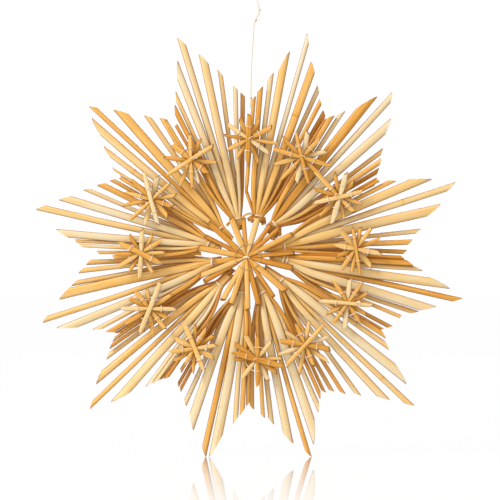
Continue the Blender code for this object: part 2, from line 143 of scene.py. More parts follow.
# A straw of a fan: the bearing and reach of its tip, how far its cut sets back from the tip, its
# width, and its tone from 0, pale cream, to 9, brown. Bearings turn from +X towards +Z.
# A fan: the bearing and reach of its tie, the length of its stubs inside the tie in millimetres,
# its peak's place among its straws, and the straws.
Fan = namedtuple("Fan", "bearing reach stub peak straws")
FANS = (
    Fan(104.6, 39.7, 9, 5, (
        (120, 159, 8, 3.5, 6), (117.5, 150, 1, 3.4, 8), (115, 168, 10, 5, 7), (113, 180, 10, 4.2, 3),
        (109.2, 208, 18, 7.3, 1), (107.6, 230, 10, 6.6, 1), (103.3, 208, 11, 7.7, 2),
        (98.8, 190, 7, 4.5, 2), (94.5, 172, 4, 4.5, 1), (92.1, 165, 4, 4.5, 6))),
    Fan(74.4, 43, 4.6, 4, (
        (86.6, 161, 4, 3.9, 6), (84.4, 171, 6, 5.3, 6), (81.5, 186, 8, 5, 1), (78, 210, 20, 7.6, 3),
        (74.9, 232, 10, 4.9, 0), (71.8, 206, 10, 7.6, 5), (67.6, 186, 6, 4.7, 1),
        (65.2, 174, 4, 4.4, 6), (62.5, 166, 4, 5, 7), (60.7, 160, 4, 4, 9))),
    Fan(49.4, 43.8, 7.5, 3, (
        (58, 166, 7, 5.7, 7), (55.8, 176, 7, 4.5, 1), (50.7, 207, 22, 9.3, 7), (48.6, 220, 9, 6.3, 1),
        (43.9, 200, 15, 8.5, 1), (38.7, 175, 6, 4.6, 3), (36.4, 167, 5, 5.2, 5),
        (34, 160, 5, 4.6, 7), (31.5, 153, 3, 3.2, 9), (30, 149, 2, 2.4, 8))),
    Fan(16, 40, 14.3, 3, (
        (29.5, 153, 1, 3.2, 7), (26.8, 168, 8, 4.6, 5), (22.6, 201, 20, 8.9, 3), (19.8, 222, 11, 6.5, 2),
        (15.4, 201, 17, 9.7, 3), (9.3, 177, 6, 4.6, 2), (6.1, 167, 5, 5.4, 6),
        (2.6, 161, 4, 4.5, 7), (0.3, 155, 3, 4, 6))),
    Fan(-4.4, 39, 12, 4, (
        (-1, 158, 4, 4, 9), (-3.2, 167, 7, 5.8, 7), (-4.6, 177, 9, 4.5, 3), (-9, 206, 21, 8.9, 2),
        (-10.7, 220, 9, 5.7, 7), (-14.5, 196, 15, 9, 1), (-17.4, 181, 7, 4.7, 3),
        (-20.5, 166, 1, 3.8, 5), (-25.2, 162, 4, 4.2, 6), (-27.5, 155, 3, 3.3, 7))),
    Fan(-34.5, 42, 15, 3, (
        (-30.4, 161, 8, 4.9, 7), (-33.2, 170, 8, 5.2, 3), (-38.6, 204, 21, 9.3, 1),
        (-41.4, 224, 8, 5.4, 3), (-44.8, 202, 11, 7.2, 2), (-50.3, 180, 6, 4.6, 2),
        (-54, 169, 5, 4, 6), (-56.8, 161, 4, 4.1, 5), (-59.5, 157, 4, 3.5, 7))),
    Fan(-66, 38.8, 13, 3, (
        (-62.7, 160, 7, 3.8, 8), (-65.3, 171, 9, 4.9, 2), (-70.4, 199, 24, 9.3, 1),
        (-71.9, 210, 7, 4.6, 6), (-75.8, 192, 12, 8, 1), (-80.6, 170, 7, 5, 2),
        (-83.4, 162, 4, 3.9, 6), (-87.1, 153, 4, 4.2, 5))),
    Fan(-98.6, 36, 14, 4, (
        (-90.2, 149, 4, 3.9, 6), (-92.5, 158, 7, 4.8, 6), (-94.7, 167, 7, 4.9, 2),
        (-100.7, 203, 24, 9.2, 1), (-101.4, 204, 9, 6, 6), (-106.9, 181, 15, 9, 1),
        # The two straws of tone 9 on this fan's right are painted shade: they are this brown where they lie
        # in shadow
        (-111.9, 161, 4, 4.7, 1), (-115.9, 150, 4, 3.3, 9), (-117.5, 147, 4, 3.3, 9),
        (-119.2, 133, 3, 3.5, 5))),
    Fan(-135, 39, 14.3, 5, (
        (-124.2, 147, 5, 3.5, 9), (-125.3, 150, 5, 3, 7), (-126.7, 157, 7, 3.7, 1), (-128, 164, 14, 5, 1),
        (-133.2, 198, 21, 8.5, 2), (-135.7, 218, 7, 4.8, 5), (-139.6, 197, 13, 7.3, 4),
        (-143.6, 174, 7, 4.8, 2), (-146, 165, 5, 3.7, 7), (-147.5, 159, 5, 3.3, 6))),
    Fan(-170, 35.5, 11.7, 4, (
        (-150.2, 152, 5, 3.5, 9), (-152.1, 159, 8, 4.9, 7), (-154.9, 170, 9, 4.4, 2),
        (-159.7, 202, 20, 8, 1), (-162, 214, 6, 5.5, 4), (-167.1, 192, 12, 9.3, 4),
        (-170.5, 178, 7, 4.9, 3), (-174.4, 169, 5, 4.7, 4), (-177.1, 161, 4, 5, 4))),
    Fan(-199, 40.6, 9, 5, (
        (-180.7, 134, 3, 4, 6), (-182.4, 150, 3, 3.4, 6), (-184.6, 168, 5, 3.5, 3),
        (-185.9, 172, 1, 3.3, 3), (-188.4, 192, 13, 7.5, 1),
        (-192.6, 216, 8, 6.4, 3), (-196.8, 196, 11, 7.6, 1), (-202.2, 177, 7, 4.4, 2),
        (-205.5, 166, 7, 5.9, 6), (-209.1, 157, 4, 4.3, 6), (-211.5, 150, 3, 3.5, 6))),
    Fan(-226.4, 39, 15, 4, (
        (-213, 150, 4, 4, 6), (-213.8, 161, 4, 2.2, 5), (-218, 181, 12, 5.5, 3), (-222.1, 208, 18, 7.8, 3),
        (-223.6, 218, 7, 5, 6), (-227.8, 198, 13, 9, 5), (-234, 175, 6, 5.4, 3),
        (-237.9, 164, 5, 5.3, 5))),
)

# Short cut ends of straw beside the ties: which fan's, where each starts and ends, its width and tone.
# Then the depths of their starts and ends, and their thickness.
CUT_ENDS = (
    (1, (-17.2, 35), (-19.6, 31.2), 3, 6.5), (2, (5.5, 40.5), (2.4, 35.6), 2.6, 6.5),
    (2, (7.5, 40), (5, 33.6), 2.2, 7.5), (2, (15.5, 40), (16.4, 31.4), 2.6, 7),
    (2, (18, 40), (19, 32.4), 2.2, 8), (3, (31, 32), (28.6, 21), 3.4, 9),
    (3, (33.5, 31), (33.6, 20.4), 3, 8.5), (3, (29, 24), (26, 16.6), 4.4, 4.5),
    (3, (33, 27.5), (28.6, 18.4), 3.6, 9.5), (11, (-45, 3.4), (-82, 6.2), 4, 7),
    (11, (-51, 1.8), (-82, 0.6), 3.4, 8.5),
)
CUT_END_DEPTHS = (-0.0008, -0.0012)
CUT_END_THICKNESS = 0.0012

# A winding: its turns, half its width and depth, its length along the fan in threads, the fan where it
# lies in two bands, and how far those lie from its middle
WINDING_TURNS = 2.35
WINDING_HALF_WIDTH = 0.00335
WINDING_HALF_DEPTH = 0.00265
WINDING_RISE = 2.1
DOUBLE_WOUND_FAN = 5
BAND_SHIFT = 0.0012

# Loose ends of the windings: which fan's, and where each starts and ends. Then their depth, and their
# thickness as a share of the thread's.
LOOSE_ENDS = (
    (5, (38.8, -13), (41, -19), (46, -23.5)), (6, (29.5, -27), (30, -34), (32.4, -41)),
    (12, (-21, 28.6), (-16, 25), (-10.5, 22.6)), (10, (-41, -1), (-44, 1), (-47.5, 0.6)),
    (2, (16, 33), (17.5, 30), (16, 26)),
)
LOOSE_END_DEPTH = -0.002
LOOSE_END_SHARE = 0.4

# The first straw of this fan has a kink where it meets the fan before: the kink's bearing and reach,
# the degrees from it to each fan's edge, the length of its crease, how much that narrows and darkens
# the straw, and how far this fan's stubs spread
KINKED_FAN = 2
KINK = (90.2, 65.9)
KINK_GAP = 2.6
CREASE_LENGTH = 0.0009
CREASE_PINCH = 0.25
CREASE_SHADE = 0.4
KINKED_SPLAY = 1.1

# The short bent straw that bridges the ties of the first two fans: its route, width, thickness and tone
ARCH = ((-5.5, 38, -0.003), (-2.5, 41, -0.0032), (2, 43.3, -0.0032), (8, 43.4, -0.003))
ARCH_WIDTH = 0.0013
ARCH_THICKNESS = 0.0011
ARCH_TONE = 0.65

# A small star: the bearing and reach of its middle, and its straws from back to front, each with
# its bearing, its width, and the tone and the reach of the end that it points to and of its other end
SmallStar = namedtuple("SmallStar", "bearing reach straws")
SMALL_STARS = (
    SmallStar(89.1, 117.6, (
        (113, 4.7, 5.5, 6, 24, 26), (60, 4.7, 6, 6, 23.5, 23), (171, 3.6, 8, 5.2, 25, 29.5),
        (27, 5.2, 5, 4.6, 28, 24.5), (-35, 4.8, 1.6, 2.6, 26, 26), (88, 5.2, 6.8, 7, 25.6, 27.3))),
    SmallStar(60.8, 113.7, (
        (14, 5, 2.4, 4.2, 27.4, 29.5), (77.5, 5.6, 1.2, 1.4, 28.4, 27), (-45, 4.7, 6, 6, 34, 28.8),
        (47, 4.6, 4.6, 4.6, 26.6, 31.5), (-16.4, 4.8, 5.2, 4.8, 31, 30.5), (104, 4, 5, 5, 26.8, 27.3))),
    SmallStar(32.9, 110.3, (
        (101.5, 4.3, 5.4, 5, 26.4, 23), (45, 4.6, 5.4, 6, 23, 28.5), (163, 4.2, 6.5, 5, 27.7, 22.8),
        (-46, 4.9, 4.2, 5, 23, 36), (74, 5.8, 1.4, 1.2, 27, 28.4), (13.3, 4.8, 2.4, 2.4, 24, 28))),
    SmallStar(4.2, 109.7, (
        (-49.5, 6, 3.6, 3, 24.7, 24), (22, 4.8, 6, 6.5, 26.7, 22.4), (79, 4.3, 5.4, 5.4, 23.6, 24.2),
        (54, 4.7, 3.6, 5, 26.8, 25.3), (-11, 5.4, 3, 3.4, 28.4, 23.6), (98.6, 3.8, 5.4, 5.4, 23.3, 26.2))),
    SmallStar(-24.6, 110.9, (
        (-30, 4.6, 5.4, 5.4, 24, 20), (26.6, 4.6, 5.6, 5.4, 23.6, 25), (84, 5.2, 2, 1, 26, 26.2),
        (-58, 4.8, 5.4, 5.4, 24.6, 26.7), (54.6, 4.4, 5, 5, 26.6, 26.6), (-5, 4.5, 2.2, 2, 27.2, 29))),
    SmallStar(-56.5, 105.3, (
        (-34.5, 5, 3, 3, 30.5, 26), (79, 4.6, 3.6, 4.2, 25.2, 30.4), (20, 5, 1.5, 2.4, 27, 28.3),
        (-67, 4.8, 5.4, 5.4, 24, 24), (-9.2, 5.8, 7, 7, 26.8, 25.7), (47.4, 4.7, 4.2, 4, 28.8, 29))),
    SmallStar(-83.9, 102.3, (
        (1, 4.6, 4.2, 6.8, 26.3, 24), (-63.4, 5.2, 1.8, 3.6, 25, 26.7), (-34, 5.2, 7, 7, 25.8, 28),
        (51, 4.8, 3.2, 3.2, 24, 26), (90.8, 5, 5.6, 7, 25.5, 27.7), (-15.8, 6, 7, 7, 27, 27))),
    SmallStar(-119.7, 104.7, (
        (33, 4.8, 6, 5.2, 24, 25), (87.3, 3.8, 5.4, 5.4, 24.7, 25.8), (-26, 5.8, 4, 4, 23.5, 22.6),
        (59, 4.6, 5.6, 5, 25.4, 20.5), (8, 4.8, 3, 5, 25.2, 26.4), (-67.5, 5.2, 3.4, 3.6, 26.4, 26.6))),
    SmallStar(-151.8, 109.5, (
        (97, 4.5, 5, 5, 23.2, 26.2), (-27, 4.8, 6, 6, 21.7, 23), (32.7, 5, 5, 6, 28, 30),
        (-52, 4.7, 4.6, 5.4, 26.3, 23.6), (-0.7, 4.8, 2.2, 1.8, 28.4, 29), (67.8, 5.2, 1.6, 1.6, 29, 28))),
    SmallStar(178, 105.4, (
        (-58.7, 4.7, 4.2, 6, 23.5, 22.5), (57.3, 4, 5, 6, 23, 23.6), (2.2, 4.2, 5, 6.4, 25.8, 28.3),
        (31.4, 5, 5, 4.6, 25.7, 26.8), (87.1, 5.2, 1.5, 1.5, 26, 26.3), (-27, 5.4, 5.4, 5.4, 25.2, 26))),
    SmallStar(149, 110.4, (
        (75.4, 5.8, 1.8, 2.6, 26.2, 26.7), (10.8, 4.4, 4.6, 5.6, 26.3, 30), (-45.5, 5.4, 5, 6, 25.8, 29),
        (-17, 4.6, 6, 4.6, 24, 28), (43, 4.2, 5, 5, 25.5, 30), (-75, 5, 1.8, 1.2, 27.7, 28.8))),
    SmallStar(119.8, 111.3, (
        (66, 4.8, 6, 5.4, 24.8, 28.8), (174, 4.9, 6, 5, 28, 25.6), (109, 4.3, 4, 1, 13, 24.7),
        (-39, 6, 6.4, 5.4, 24, 25), (92.4, 4.4, 4.6, 5, 27, 29), (32.5, 4.8, 4.4, 4.4, 28.2, 29))),
)

# The table units in a small star's straw, how much each of its straws narrows in the middle, from back to
# front, over what share of its length, how much it thins there, how far out its ends start to taper, and
# how far it bows sideways
SMALL_UNITS = 56
PINCHES = (0.62, 0.62, 0.6, 0.55, 0.4, 0.15)
PINCH_SHARE = 0.24
PINCH_THINNED = 0.3
TAPER_START = 0.6
SMALL_BOW = 0.0003

# The small stars' threads: how far from the middle they run, and how far from a straw's midline they
# cross it, as a share of its width
WEAVE_RADIUS = 0.0078
WEAVE_HOLD = 0.42

# Stitches of thread on the fronts of the small stars: which star's, and where they run from its middle
STITCHES = (
    (1, (-0.6, -0.6), (1.5, 0.8), (3.8, 2.4)), (2, (-1.4, 1.6), (0.8, 1.5), (2.8, 0.6)),
    (3, (-4.8, 0.6), (-4, 2.6), (-2.2, 3), (-1.6, 1.2)), (5, (7.6, 0.2), (9.2, 1.7), (10.8, 0.6), (9, 0.2)),
    (7, (-3.4, -0.8), (-2.2, 0.7), (-0.4, 0.2)),
    (12, (-0.6, 0.4), (2, 2.6), (4.4, 3.8), (6.4, 1.8), (4.2, 1.9), (2, 1)),
)

# A ray of the rosette: its bearing, reach, width, tone, and 1 where it lies in front
ROSETTE = (
    (111, 43, 5.3, 2, 1), (94.5, 40, 4, 5, 0), (74, 43, 5.2, 0, 1), (53, 42, 4.2, 6, 0),
    (41.5, 45, 4, 6, 1), (26.5, 52, 4.8, 3, 1), (5.5, 49, 4, 6, 0), (-13.5, 49, 5.3, 6, 0),
    (-41, 53, 5.4, 3, 1), (-55.5, 49, 3.8, 6, 0), (-75.5, 52, 4.8, 6, 0), (-88.5, 54, 4.8, 1, 1),
    (-108, 51, 4.8, 2, 1), (-119, 51, 4.8, 2, 1), (-150, 50, 4.6, 6, 0), (-157.5, 51, 4.8, 1, 1),
    (-171, 33, 5.4, 4, 0), (169, 50, 5.2, 3, 1), (153, 48, 3.8, 6, 0), (138, 52, 5, 5, 0),
)

# The rosette's depth, and the levels of its back and its front rays from there
ROSETTE_DEPTH = -0.00474
RAY_LEVELS = (0.0004, -0.00025)

# A ray's start, width and thickness at the middle, how much thicker it gets, the table units over which
# it opens out, and the length of its dark tip
RAY_START = 0.0006
RAY_WAIST_WIDTH = 0.0007
RAY_WAIST_DEPTH = 0.0008
RAY_THICKER = 0.0012
RAY_OPENING = 14
RAY_TIP_LENGTH = 0.0016

# The rosette's ring of thread: its reach, how far it lies to the right as a share of that, its levels
# over back and front rays, and how far from a ray's midline it crosses, as a share of the ray's width
RING_REACH = 12.6
RING_SHIFT = 0.09
RING_LEVELS = (-0.00075, -0.0015)
RING_HOLD = 0.32

# The rosette's knot: its depth, its route, how far each of its threads lies above that, and their
# thickness as a share of the ring's
KNOT_DEPTH = -0.00599
KNOT_ROUTE = ((-2.9, -0.5, 0.0004), (-1.5, 0.3, -0.0002), (0, 0.5, -0.0004), (1.6, 0.2, -0.0002),
              (2.9, -0.6, 0.0004))
KNOT_LIFTS = (0.1, -0.75)
KNOT_SHARE = 1.3

# The thread's route above the star, from its knot on the star to its eye, in metres, and which of its
# points have a knot
CORD_ROUTE = (
    (-0.0048, -0.0046, -0.0786),
    (-0.0043, -0.0048, -0.0722),
    (-0.0043, -0.0046, -0.0640),
    (-0.0037, -0.0034, -0.0471),
    (-0.0030, -0.0018, -0.0350),
    (-0.0023, -0.0010, -0.0247),
    (-0.0013, -0.0006, -0.0215),
    (0.0006, -0.0003, -0.0172),
    (0.0012, 0.0, -0.0148),
    (0.0008, 0.0, -0.0122),
    (0.0, 0.0, -0.0096),
)
KNOTTED_POINTS = (1, 6, 8)

# The small loop between the upper two knots and the loose tail at the top one, with their thicknesses
SIDE_LOOP = (
    (-0.0013, -0.0012, -0.0215),
    (-0.0002, -0.0016, -0.0222),
    (0.0013, -0.0012, -0.0202),
    (0.0015, -0.0010, -0.0178),
    (0.0014, -0.0006, -0.0152),
)
SIDE_LOOP_THICKNESS = 0.0005
THREAD_TAIL = ((0.0010, -0.0004, -0.0148), (0.0023, -0.0008, -0.0143), (0.0030, -0.0008, -0.0136))
THREAD_TAIL_THICKNESS = 0.0006

# A knot's turns, radius and thread, and how much its windings swell in and out
WOUND_TURNS = 2.6
WOUND_RADIUS = 0.0007
WOUND_THREAD = 0.0006
WOUND_SWELL = 0.12

# The eye that the star hangs by, and how much its lower end is narrowed
EYE_HEIGHT = 0.0090
EYE_WIDTH = 0.0046
EYE_TAPER = 0.38

# How far a thread's two plies dip where they meet, and how steeply the painted shade in the groove between
# them ends
PLY_DIP = 0.16
GROOVE_STEEPNESS = 1.6

# Marks in straw: how many there are to a millimetre across and along it, their detail, and how far each
# kind swings the tone
Mark = namedtuple("Mark", "across along detail swing")
FIBRE = Mark(5.5, 0.09, 3.0, 0.45)
STREAK = Mark(1.3, 0.025, 2.0, 0.85)
BLOTCH = Mark(0.25, 0.05, 1.0, 0.22)

# How far the marks move, deep and along, with each straw's seed
SEED_SHIFTS = (13.7, 31.3)

# The tones at which straw has each colour, and how much a node ring darkens it
TONE_COLOURS = (
    (0.0, "pale"), (0.17, "cream"), (0.37, "tan"), (0.62, "orange"), (0.82, "rust"), (1.0, "brown"),
)
KNUCKLE_SHADE = 0.3

# How far in from its edge the painted shade along a straw's edges reaches, and how steeply it deepens
EDGE_SHADE_REACH = 1.9
EDGE_SHADE_POWER = 2.1

# Straw's shine, its least roughness, what its fibres add to that, and their relief's strength and height
STRAW_SHINE = 0.2
STRAW_ROUGHNESS = 0.30
FIBRE_ROUGHNESS = 0.25
RELIEF = 0.25
RELIEF_HEIGHT = 0.0002

# Thread: its roughness, the painted shade in the groove between its plies and the random darkening of its
# fuzz, and what the full darkening leaves of its colour
THREAD_ROUGHNESS = 0.85
GROOVE_PAINTED_SHADE = 0.3
FUZZ_SHADE = 0.2
SHADED_THREAD = 0.6

# The floor: half its width, how much of its paleness is lit, its own glow, its mirror's colour and
# roughness, and the place in front of the star where the mirror has faded, and the share left there
FLOOR_HALF = 6
FLOOR_LIT = 0.1
FLOOR_GLOW = 0.88
MIRROR_COLOUR = (0.952, 0.954, 0.96, 1)
MIRROR_ROUGHNESS = 0.04
FADED_AT = -0.32
FADED_TO = 0.2

# The two lights' places, size and colour, and the colour of the light from the surroundings
KEY_PLACE = (-1.25, -0.85, 0.85)
BACK_PLACE = (0.3, 1.5, 0.6)
LIGHT_SIZE = 0.7
LIGHT_COLOUR = (0.87, 0.95, 1.0)
FILL_COLOUR = (1.0, 0.765, 0.485)

# Where the camera aims, and the width that its frame takes in there
VIEW_MIDDLE = (-0.0048, 0.0, -0.17065)
VIEW_WIDTH = 0.325


def measure(name, description, default):
    """A length among the settings."""
    return FloatProperty(name=name, description=description, default=default, unit="LENGTH")


class STRAWSTAR_PG_straw(bpy.types.PropertyGroup):
    """Sizes of the straws."""

    depth: measure("Depth", "Thickness of a straw, front to back", 0.0030)
    wall: measure("Wall", "Thickness of a straw's wall", 0.00025)
    hollow: measure("Hollow", "How far one sees into a cut end", 0.004)
    waist_width: measure("Waist width", "Width of a straw under its tie", 0.0018)
    waist_depth: measure("Waist depth", "Thickness of a straw under its tie", 0.0013)
    opening: measure("Opening", "Length over which a straw opens out above its tie", 0.010)
    bend: measure("Bend", "Length over which a straw's bends are rounded off", 0.007)
    small_length: measure("Small straw length", "Length of a small star's straws", 0.0365)
    small_depth: measure("Small straw depth", "Thickness of a small star's straws", 0.0013)


class STRAWSTAR_PG_thread(bpy.types.PropertyGroup):
    """Sizes of the threads."""

    winding: measure("Winding", "Thickness of the thread round a fan", 0.0006)
    weave: measure("Weave", "Thickness of the thread woven through a star", 0.00045)
    ring: measure("Ring", "Thickness of the thread woven round the rosette", 0.0005)
    cord: measure("Cord", "Thickness of the hanging thread", 0.0009)
    eye: measure("Eye", "Thickness of the thread of the eye", 0.0006)
    ply: measure("Ply", "Length of one turn of the thread's twist", 0.0022)


def colour(name, description, default):
    """A colour among the settings."""
    return FloatVectorProperty(name=name, description=description, default=default,
                               size=3, min=0, max=1, subtype="COLOR")


class STRAWSTAR_PG_colours(bpy.types.PropertyGroup):
    """Colours of straw and thread, and of the painted shade along straw edges and inside cut ends."""

    pale: colour("Pale", "The palest straw", (0.525, 0.465, 0.355))
    cream: colour("Cream", "Cream straw", (0.56, 0.43, 0.235))
    tan: colour("Tan", "Tan straw", (0.585, 0.365, 0.12))
    orange: colour("Orange", "Orange straw", (0.50, 0.245, 0.042))
    rust: colour("Rust", "Rust-brown straw", (0.40, 0.165, 0.02))
    brown: colour("Brown", "The darkest straw", (0.28, 0.105, 0.012))
    # The colour of the painted shade along a straw's edges, for the shade between neighbouring straws and the
    # light through the edge
    edge: colour("Edge", "What a straw's edge lets through", (0.37, 0.135, 0.04))
    # The colour of the painted shade on a straw's inner wall, in the hollow of a cut end
    inside: colour("Inside", "The pith inside a cut straw", (0.34, 0.17, 0.045))
    thread: colour("Thread", "Cotton thread", (0.72, 0.58, 0.42))
    cord: colour("Hanging thread", "The pale thread that the star hangs on", (0.56, 0.49, 0.43))
    gold: colour("Golden thread", "The thread woven round the rosette", (0.47, 0.30, 0.12))
    floor: colour("Floor", "The pale floor", (0.97, 0.97, 0.97))


class STRAWSTAR_PG_stage(bpy.types.PropertyGroup):
    """The camera and the light."""

    distance: measure("Camera distance", "From the star to the camera", 1.8)
    key: FloatProperty(name="Key light", description="Power of the light at the upper left",
                       default=43.0, unit="POWER")
    back: FloatProperty(name="Back light", description="Power of the soft light behind the star",
                        default=17.0, unit="POWER")
    sky: FloatProperty(name="Sky", description="How bright the white surroundings look",
                       default=1.04, subtype="FACTOR")
    fill: FloatProperty(name="Fill", description="How strongly the surroundings light the star",
                        default=1.28, subtype="FACTOR")
    gloss: FloatProperty(name="Gloss", description="How much the floor mirrors beside the star",
                         default=0.9, subtype="FACTOR")


class STRAWSTAR_PG_settings(bpy.types.PropertyGroup):
    """All settings of the ornament."""

    straw: PointerProperty(type=STRAWSTAR_PG_straw)
    thread: PointerProperty(type=STRAWSTAR_PG_thread)
    colours: PointerProperty(type=STRAWSTAR_PG_colours)
    stage: PointerProperty(type=STRAWSTAR_PG_stage)


def towards(bearing):
    """The unit vector at a bearing in the star's plane."""
    angle = math.radians(bearing)
    return np.array((math.cos(angle), 0.0, math.sin(angle)))


def polar(bearing, reach, depth=0.0):
    """A point by its bearing and reach from the star's centre, and its depth behind the star's plane."""
    return CENTRE + reach * towards(bearing) + np.array((0.0, depth, 0.0))


def spot(x, y, depth):
    """A point by its place from the star's centre in table units, and its depth behind the star's plane."""
    return CENTRE + np.array((x * UNIT, depth, y * UNIT))


def table_tone(step, scale):
    """A tone from the tables as the materials read it."""
    return scale[0] + step * scale[1]


def unit_vectors(vectors):
    return vectors / np.linalg.norm(vectors, axis=-1, keepdims=True)


def lateral(direction):
    """The unit vector across a straw in the star's plane, a quarter turn on from its direction."""
    return unit_vectors(np.array((-direction[2], 0.0, direction[0])))


def arc_lengths(path):
    return np.concatenate([[0.0], np.cumsum(np.linalg.norm(np.diff(path, axis=0), axis=1))])


def spline(points, steps, closed=False):
    """A smooth curve through the points, with a number of steps between each two."""
    points = np.array(points, float)
    if closed:
        padded = np.concatenate([points[-1:], points, points[:2]])
    else:
        padded = np.concatenate([[2 * points[0] - points[1]], points, [2 * points[-1] - points[-2]]])
    fine = []
    for a, b, c, d in zip(padded, padded[1:], padded[2:], padded[3:]):
        for t in np.arange(steps) / steps:
            square = (2 * a - 5 * b + 4 * c - d) * t ** 2
            cube = (3 * b - a - 3 * c + d) * t ** 3
            fine.append((2 * b + (c - a) * t + square + cube) / 2)
    if not closed:
        fine.append(points[-1])
    return np.array(fine)


def sampled(vectors, arc, places):
    """Vectors that are known along a path, at other places on it."""
    return np.stack([np.interp(places, arc, vectors[:, axis]) for axis in range(3)], axis=-1)


def resample(path, spacing, closed=False):
    """The same path with evenly spaced points."""
    if closed:
        path = np.concatenate([path, path[:1]])
    arc = arc_lengths(path)
    count = max(3, round(arc[-1] / spacing))
    return sampled(path, arc, np.linspace(0, arc[-1], count, endpoint=not closed))


def rounded(corners, spacing, reach):
    """Points on a line through corners, with the corners rounded off over a reach."""
    line = resample(np.array(corners), spacing)
    count = round(reach / spacing)
    steps = np.arange(1, count + 1)[:, None]
    before = line[0] - steps[::-1] * (line[1] - line[0])
    after = line[-1] + steps * (line[-1] - line[-2])
    padded = np.concatenate([before, line, after])
    window = np.ones(2 * count + 1) / (2 * count + 1)
    return np.stack([np.convolve(padded[:, axis], window, "valid") for axis in range(3)], axis=1)


class Shape:
    """Vertices and faces of a piece, with the values that its material reads at each vertex.

    Tone runs from pale to brown, and lie is the place across, deep and along a straw in millimetres.
    Wall is 1 inside a straw and in a thread's groove, where the materials paint shade, and knuckle is 1 on a
    node ring.
    """

    def __init__(self):
        self.points = []
        self.faces = []
        self.tone = []
        self.lie = []
        self.wall = []
        self.knuckle = []
        self.count = 0

    def add_rings(self, rings, tone, lie, wall, knuckle, closed=False):
        """A tube through rings of vertices, capped at both ends unless it closes on itself."""
        count, sides = rings.shape[:2]
        index = self.count + np.arange(count * sides).reshape(count, sides)
        after = np.roll(index, -1, axis=1)
        if closed:
            one, two = index, np.roll(index, -1, axis=0)
            one_after, two_after = after, np.roll(after, -1, axis=0)
        else:
            one, two = index[:-1], index[1:]
            one_after, two_after = after[:-1], after[1:]
        quads = np.stack([one, one_after, two_after, two], axis=-1).reshape(-1, 4)
        self.faces.extend(quads.tolist())
        if not closed:
            self.faces.append(index[0, ::-1].tolist())
            self.faces.append(index[-1].tolist())
        self.points.append(rings.reshape(-1, 3))
        for store, values in ((self.tone, tone), (self.wall, wall), (self.knuckle, knuckle)):
            store.append(np.broadcast_to(values, (count, sides)).reshape(-1))
        self.lie.append(lie.reshape(-1, 3))
        self.count += count * sides

    def build(self, name, material, slot, *nodes):
        """The piece as an object that rides on the body and stands for the CAD nodes."""
        mesh = bpy.data.meshes.new(name)
        mesh.from_pydata(np.concatenate(self.points), [], self.faces)
        for key, kind, store in (
            ("tone", "FLOAT", self.tone),
            ("wall", "FLOAT", self.wall),
            ("knuckle", "FLOAT", self.knuckle),
            ("lie", "FLOAT_VECTOR", self.lie),
        ):
            layer = mesh.attributes.new(key, kind, "POINT")
            field = "vector" if kind == "FLOAT_VECTOR" else "value"
            layer.data.foreach_set(field, np.concatenate(store).astype(np.float32).ravel())
        mesh.update()
        mesh.shade_smooth()
        mesh.set_sharp_from_angle(angle=math.radians(50))
        mesh.materials.append(material)
        item = bpy.data.objects.new(name, mesh)
        bpy.context.scene.collection.objects.link(item)
        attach(item, "root")
        if nodes:
            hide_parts(*nodes)
        return item


def straw(shape, path, widths, depths, tones, seed, start, end,
          sides=16, spacing=0.0026, roll=0.0, knuckle=None, scoop=0.0):
    """A hollow straw along a path. A cut, start or end, is (how far it sets back, the side of its tip).

    The scoop is how much further the front of the end sets back, so that the hollow shows.
    """
    sizes = bpy.context.scene.straw_star.straw
    arc = arc_lengths(path)
    length = arc[-1]
    along = unit_vectors(np.gradient(path, arc, axis=0))
    across = unit_vectors(np.stack([-along[:, 2], np.zeros(len(along)), along[:, 0]], axis=1))
    deep = np.cross(along, across)
    turn = 2 * math.pi * np.arange(sides) / sides
    s, t = (np.sign(wave) * np.abs(wave) ** FLATNESS for wave in (np.cos(turn), np.sin(turn)))
    set_start = start[0] * ((1 - start[1] * s) / 2) ** CUT_CURVE
    set_end = end[0] * ((1 - end[1] * s) / 2) ** CUT_CURVE + scoop * (1 + t) / 2
    u = np.linspace(0, 1, max(8, round(length / spacing)))
    if knuckle:
        clear = np.abs(u - knuckle / length) > KNUCKLE_CLEAR / length
        u = np.sort(np.concatenate([u[clear], (knuckle + KNUCKLE_MESH) / length]))
    outer = set_start + u[:, None] * (length - set_start - set_end)
    places = np.concatenate([
        [set_start + sizes.hollow, set_start + sizes.hollow / 2, set_start],
        outer,
        [length - set_end, length - set_end - sizes.hollow / 2, length - set_end - sizes.hollow],
    ])
    # The inner rings line the hollow of each cut end, where the material paints shade
    inner = np.zeros((len(places), 1))
    inner[:3] = inner[-3:] = 1
    ring = np.exp(-((places - knuckle) / KNUCKLE_LENGTH) ** 2) if knuckle else np.zeros_like(places)
    halves = []
    for values in (widths, depths):
        size = np.interp(places, arc, np.broadcast_to(values, len(arc))) + ring * KNUCKLE_SWELL
        halves.append(size / 2 - inner * np.minimum(sizes.wall, size * THICKEST_WALL))
    turned_s = s * np.cos(roll) * halves[0] - t * np.sin(roll) * halves[1]
    turned_t = s * np.sin(roll) * halves[0] + t * np.cos(roll) * halves[1]
    points = sampled(path, arc, places)
    for vectors, amount in ((across, turned_s), (deep, turned_t)):
        points = points + sampled(vectors, arc, places) * amount[..., None]
    lie = np.stack([turned_s, turned_t, places], axis=-1) * 1000 + seed * np.array((0, *SEED_SHIFTS))
    shape.add_rings(points, np.interp(places, arc, np.broadcast_to(tones, len(arc))), lie, inner, ring)


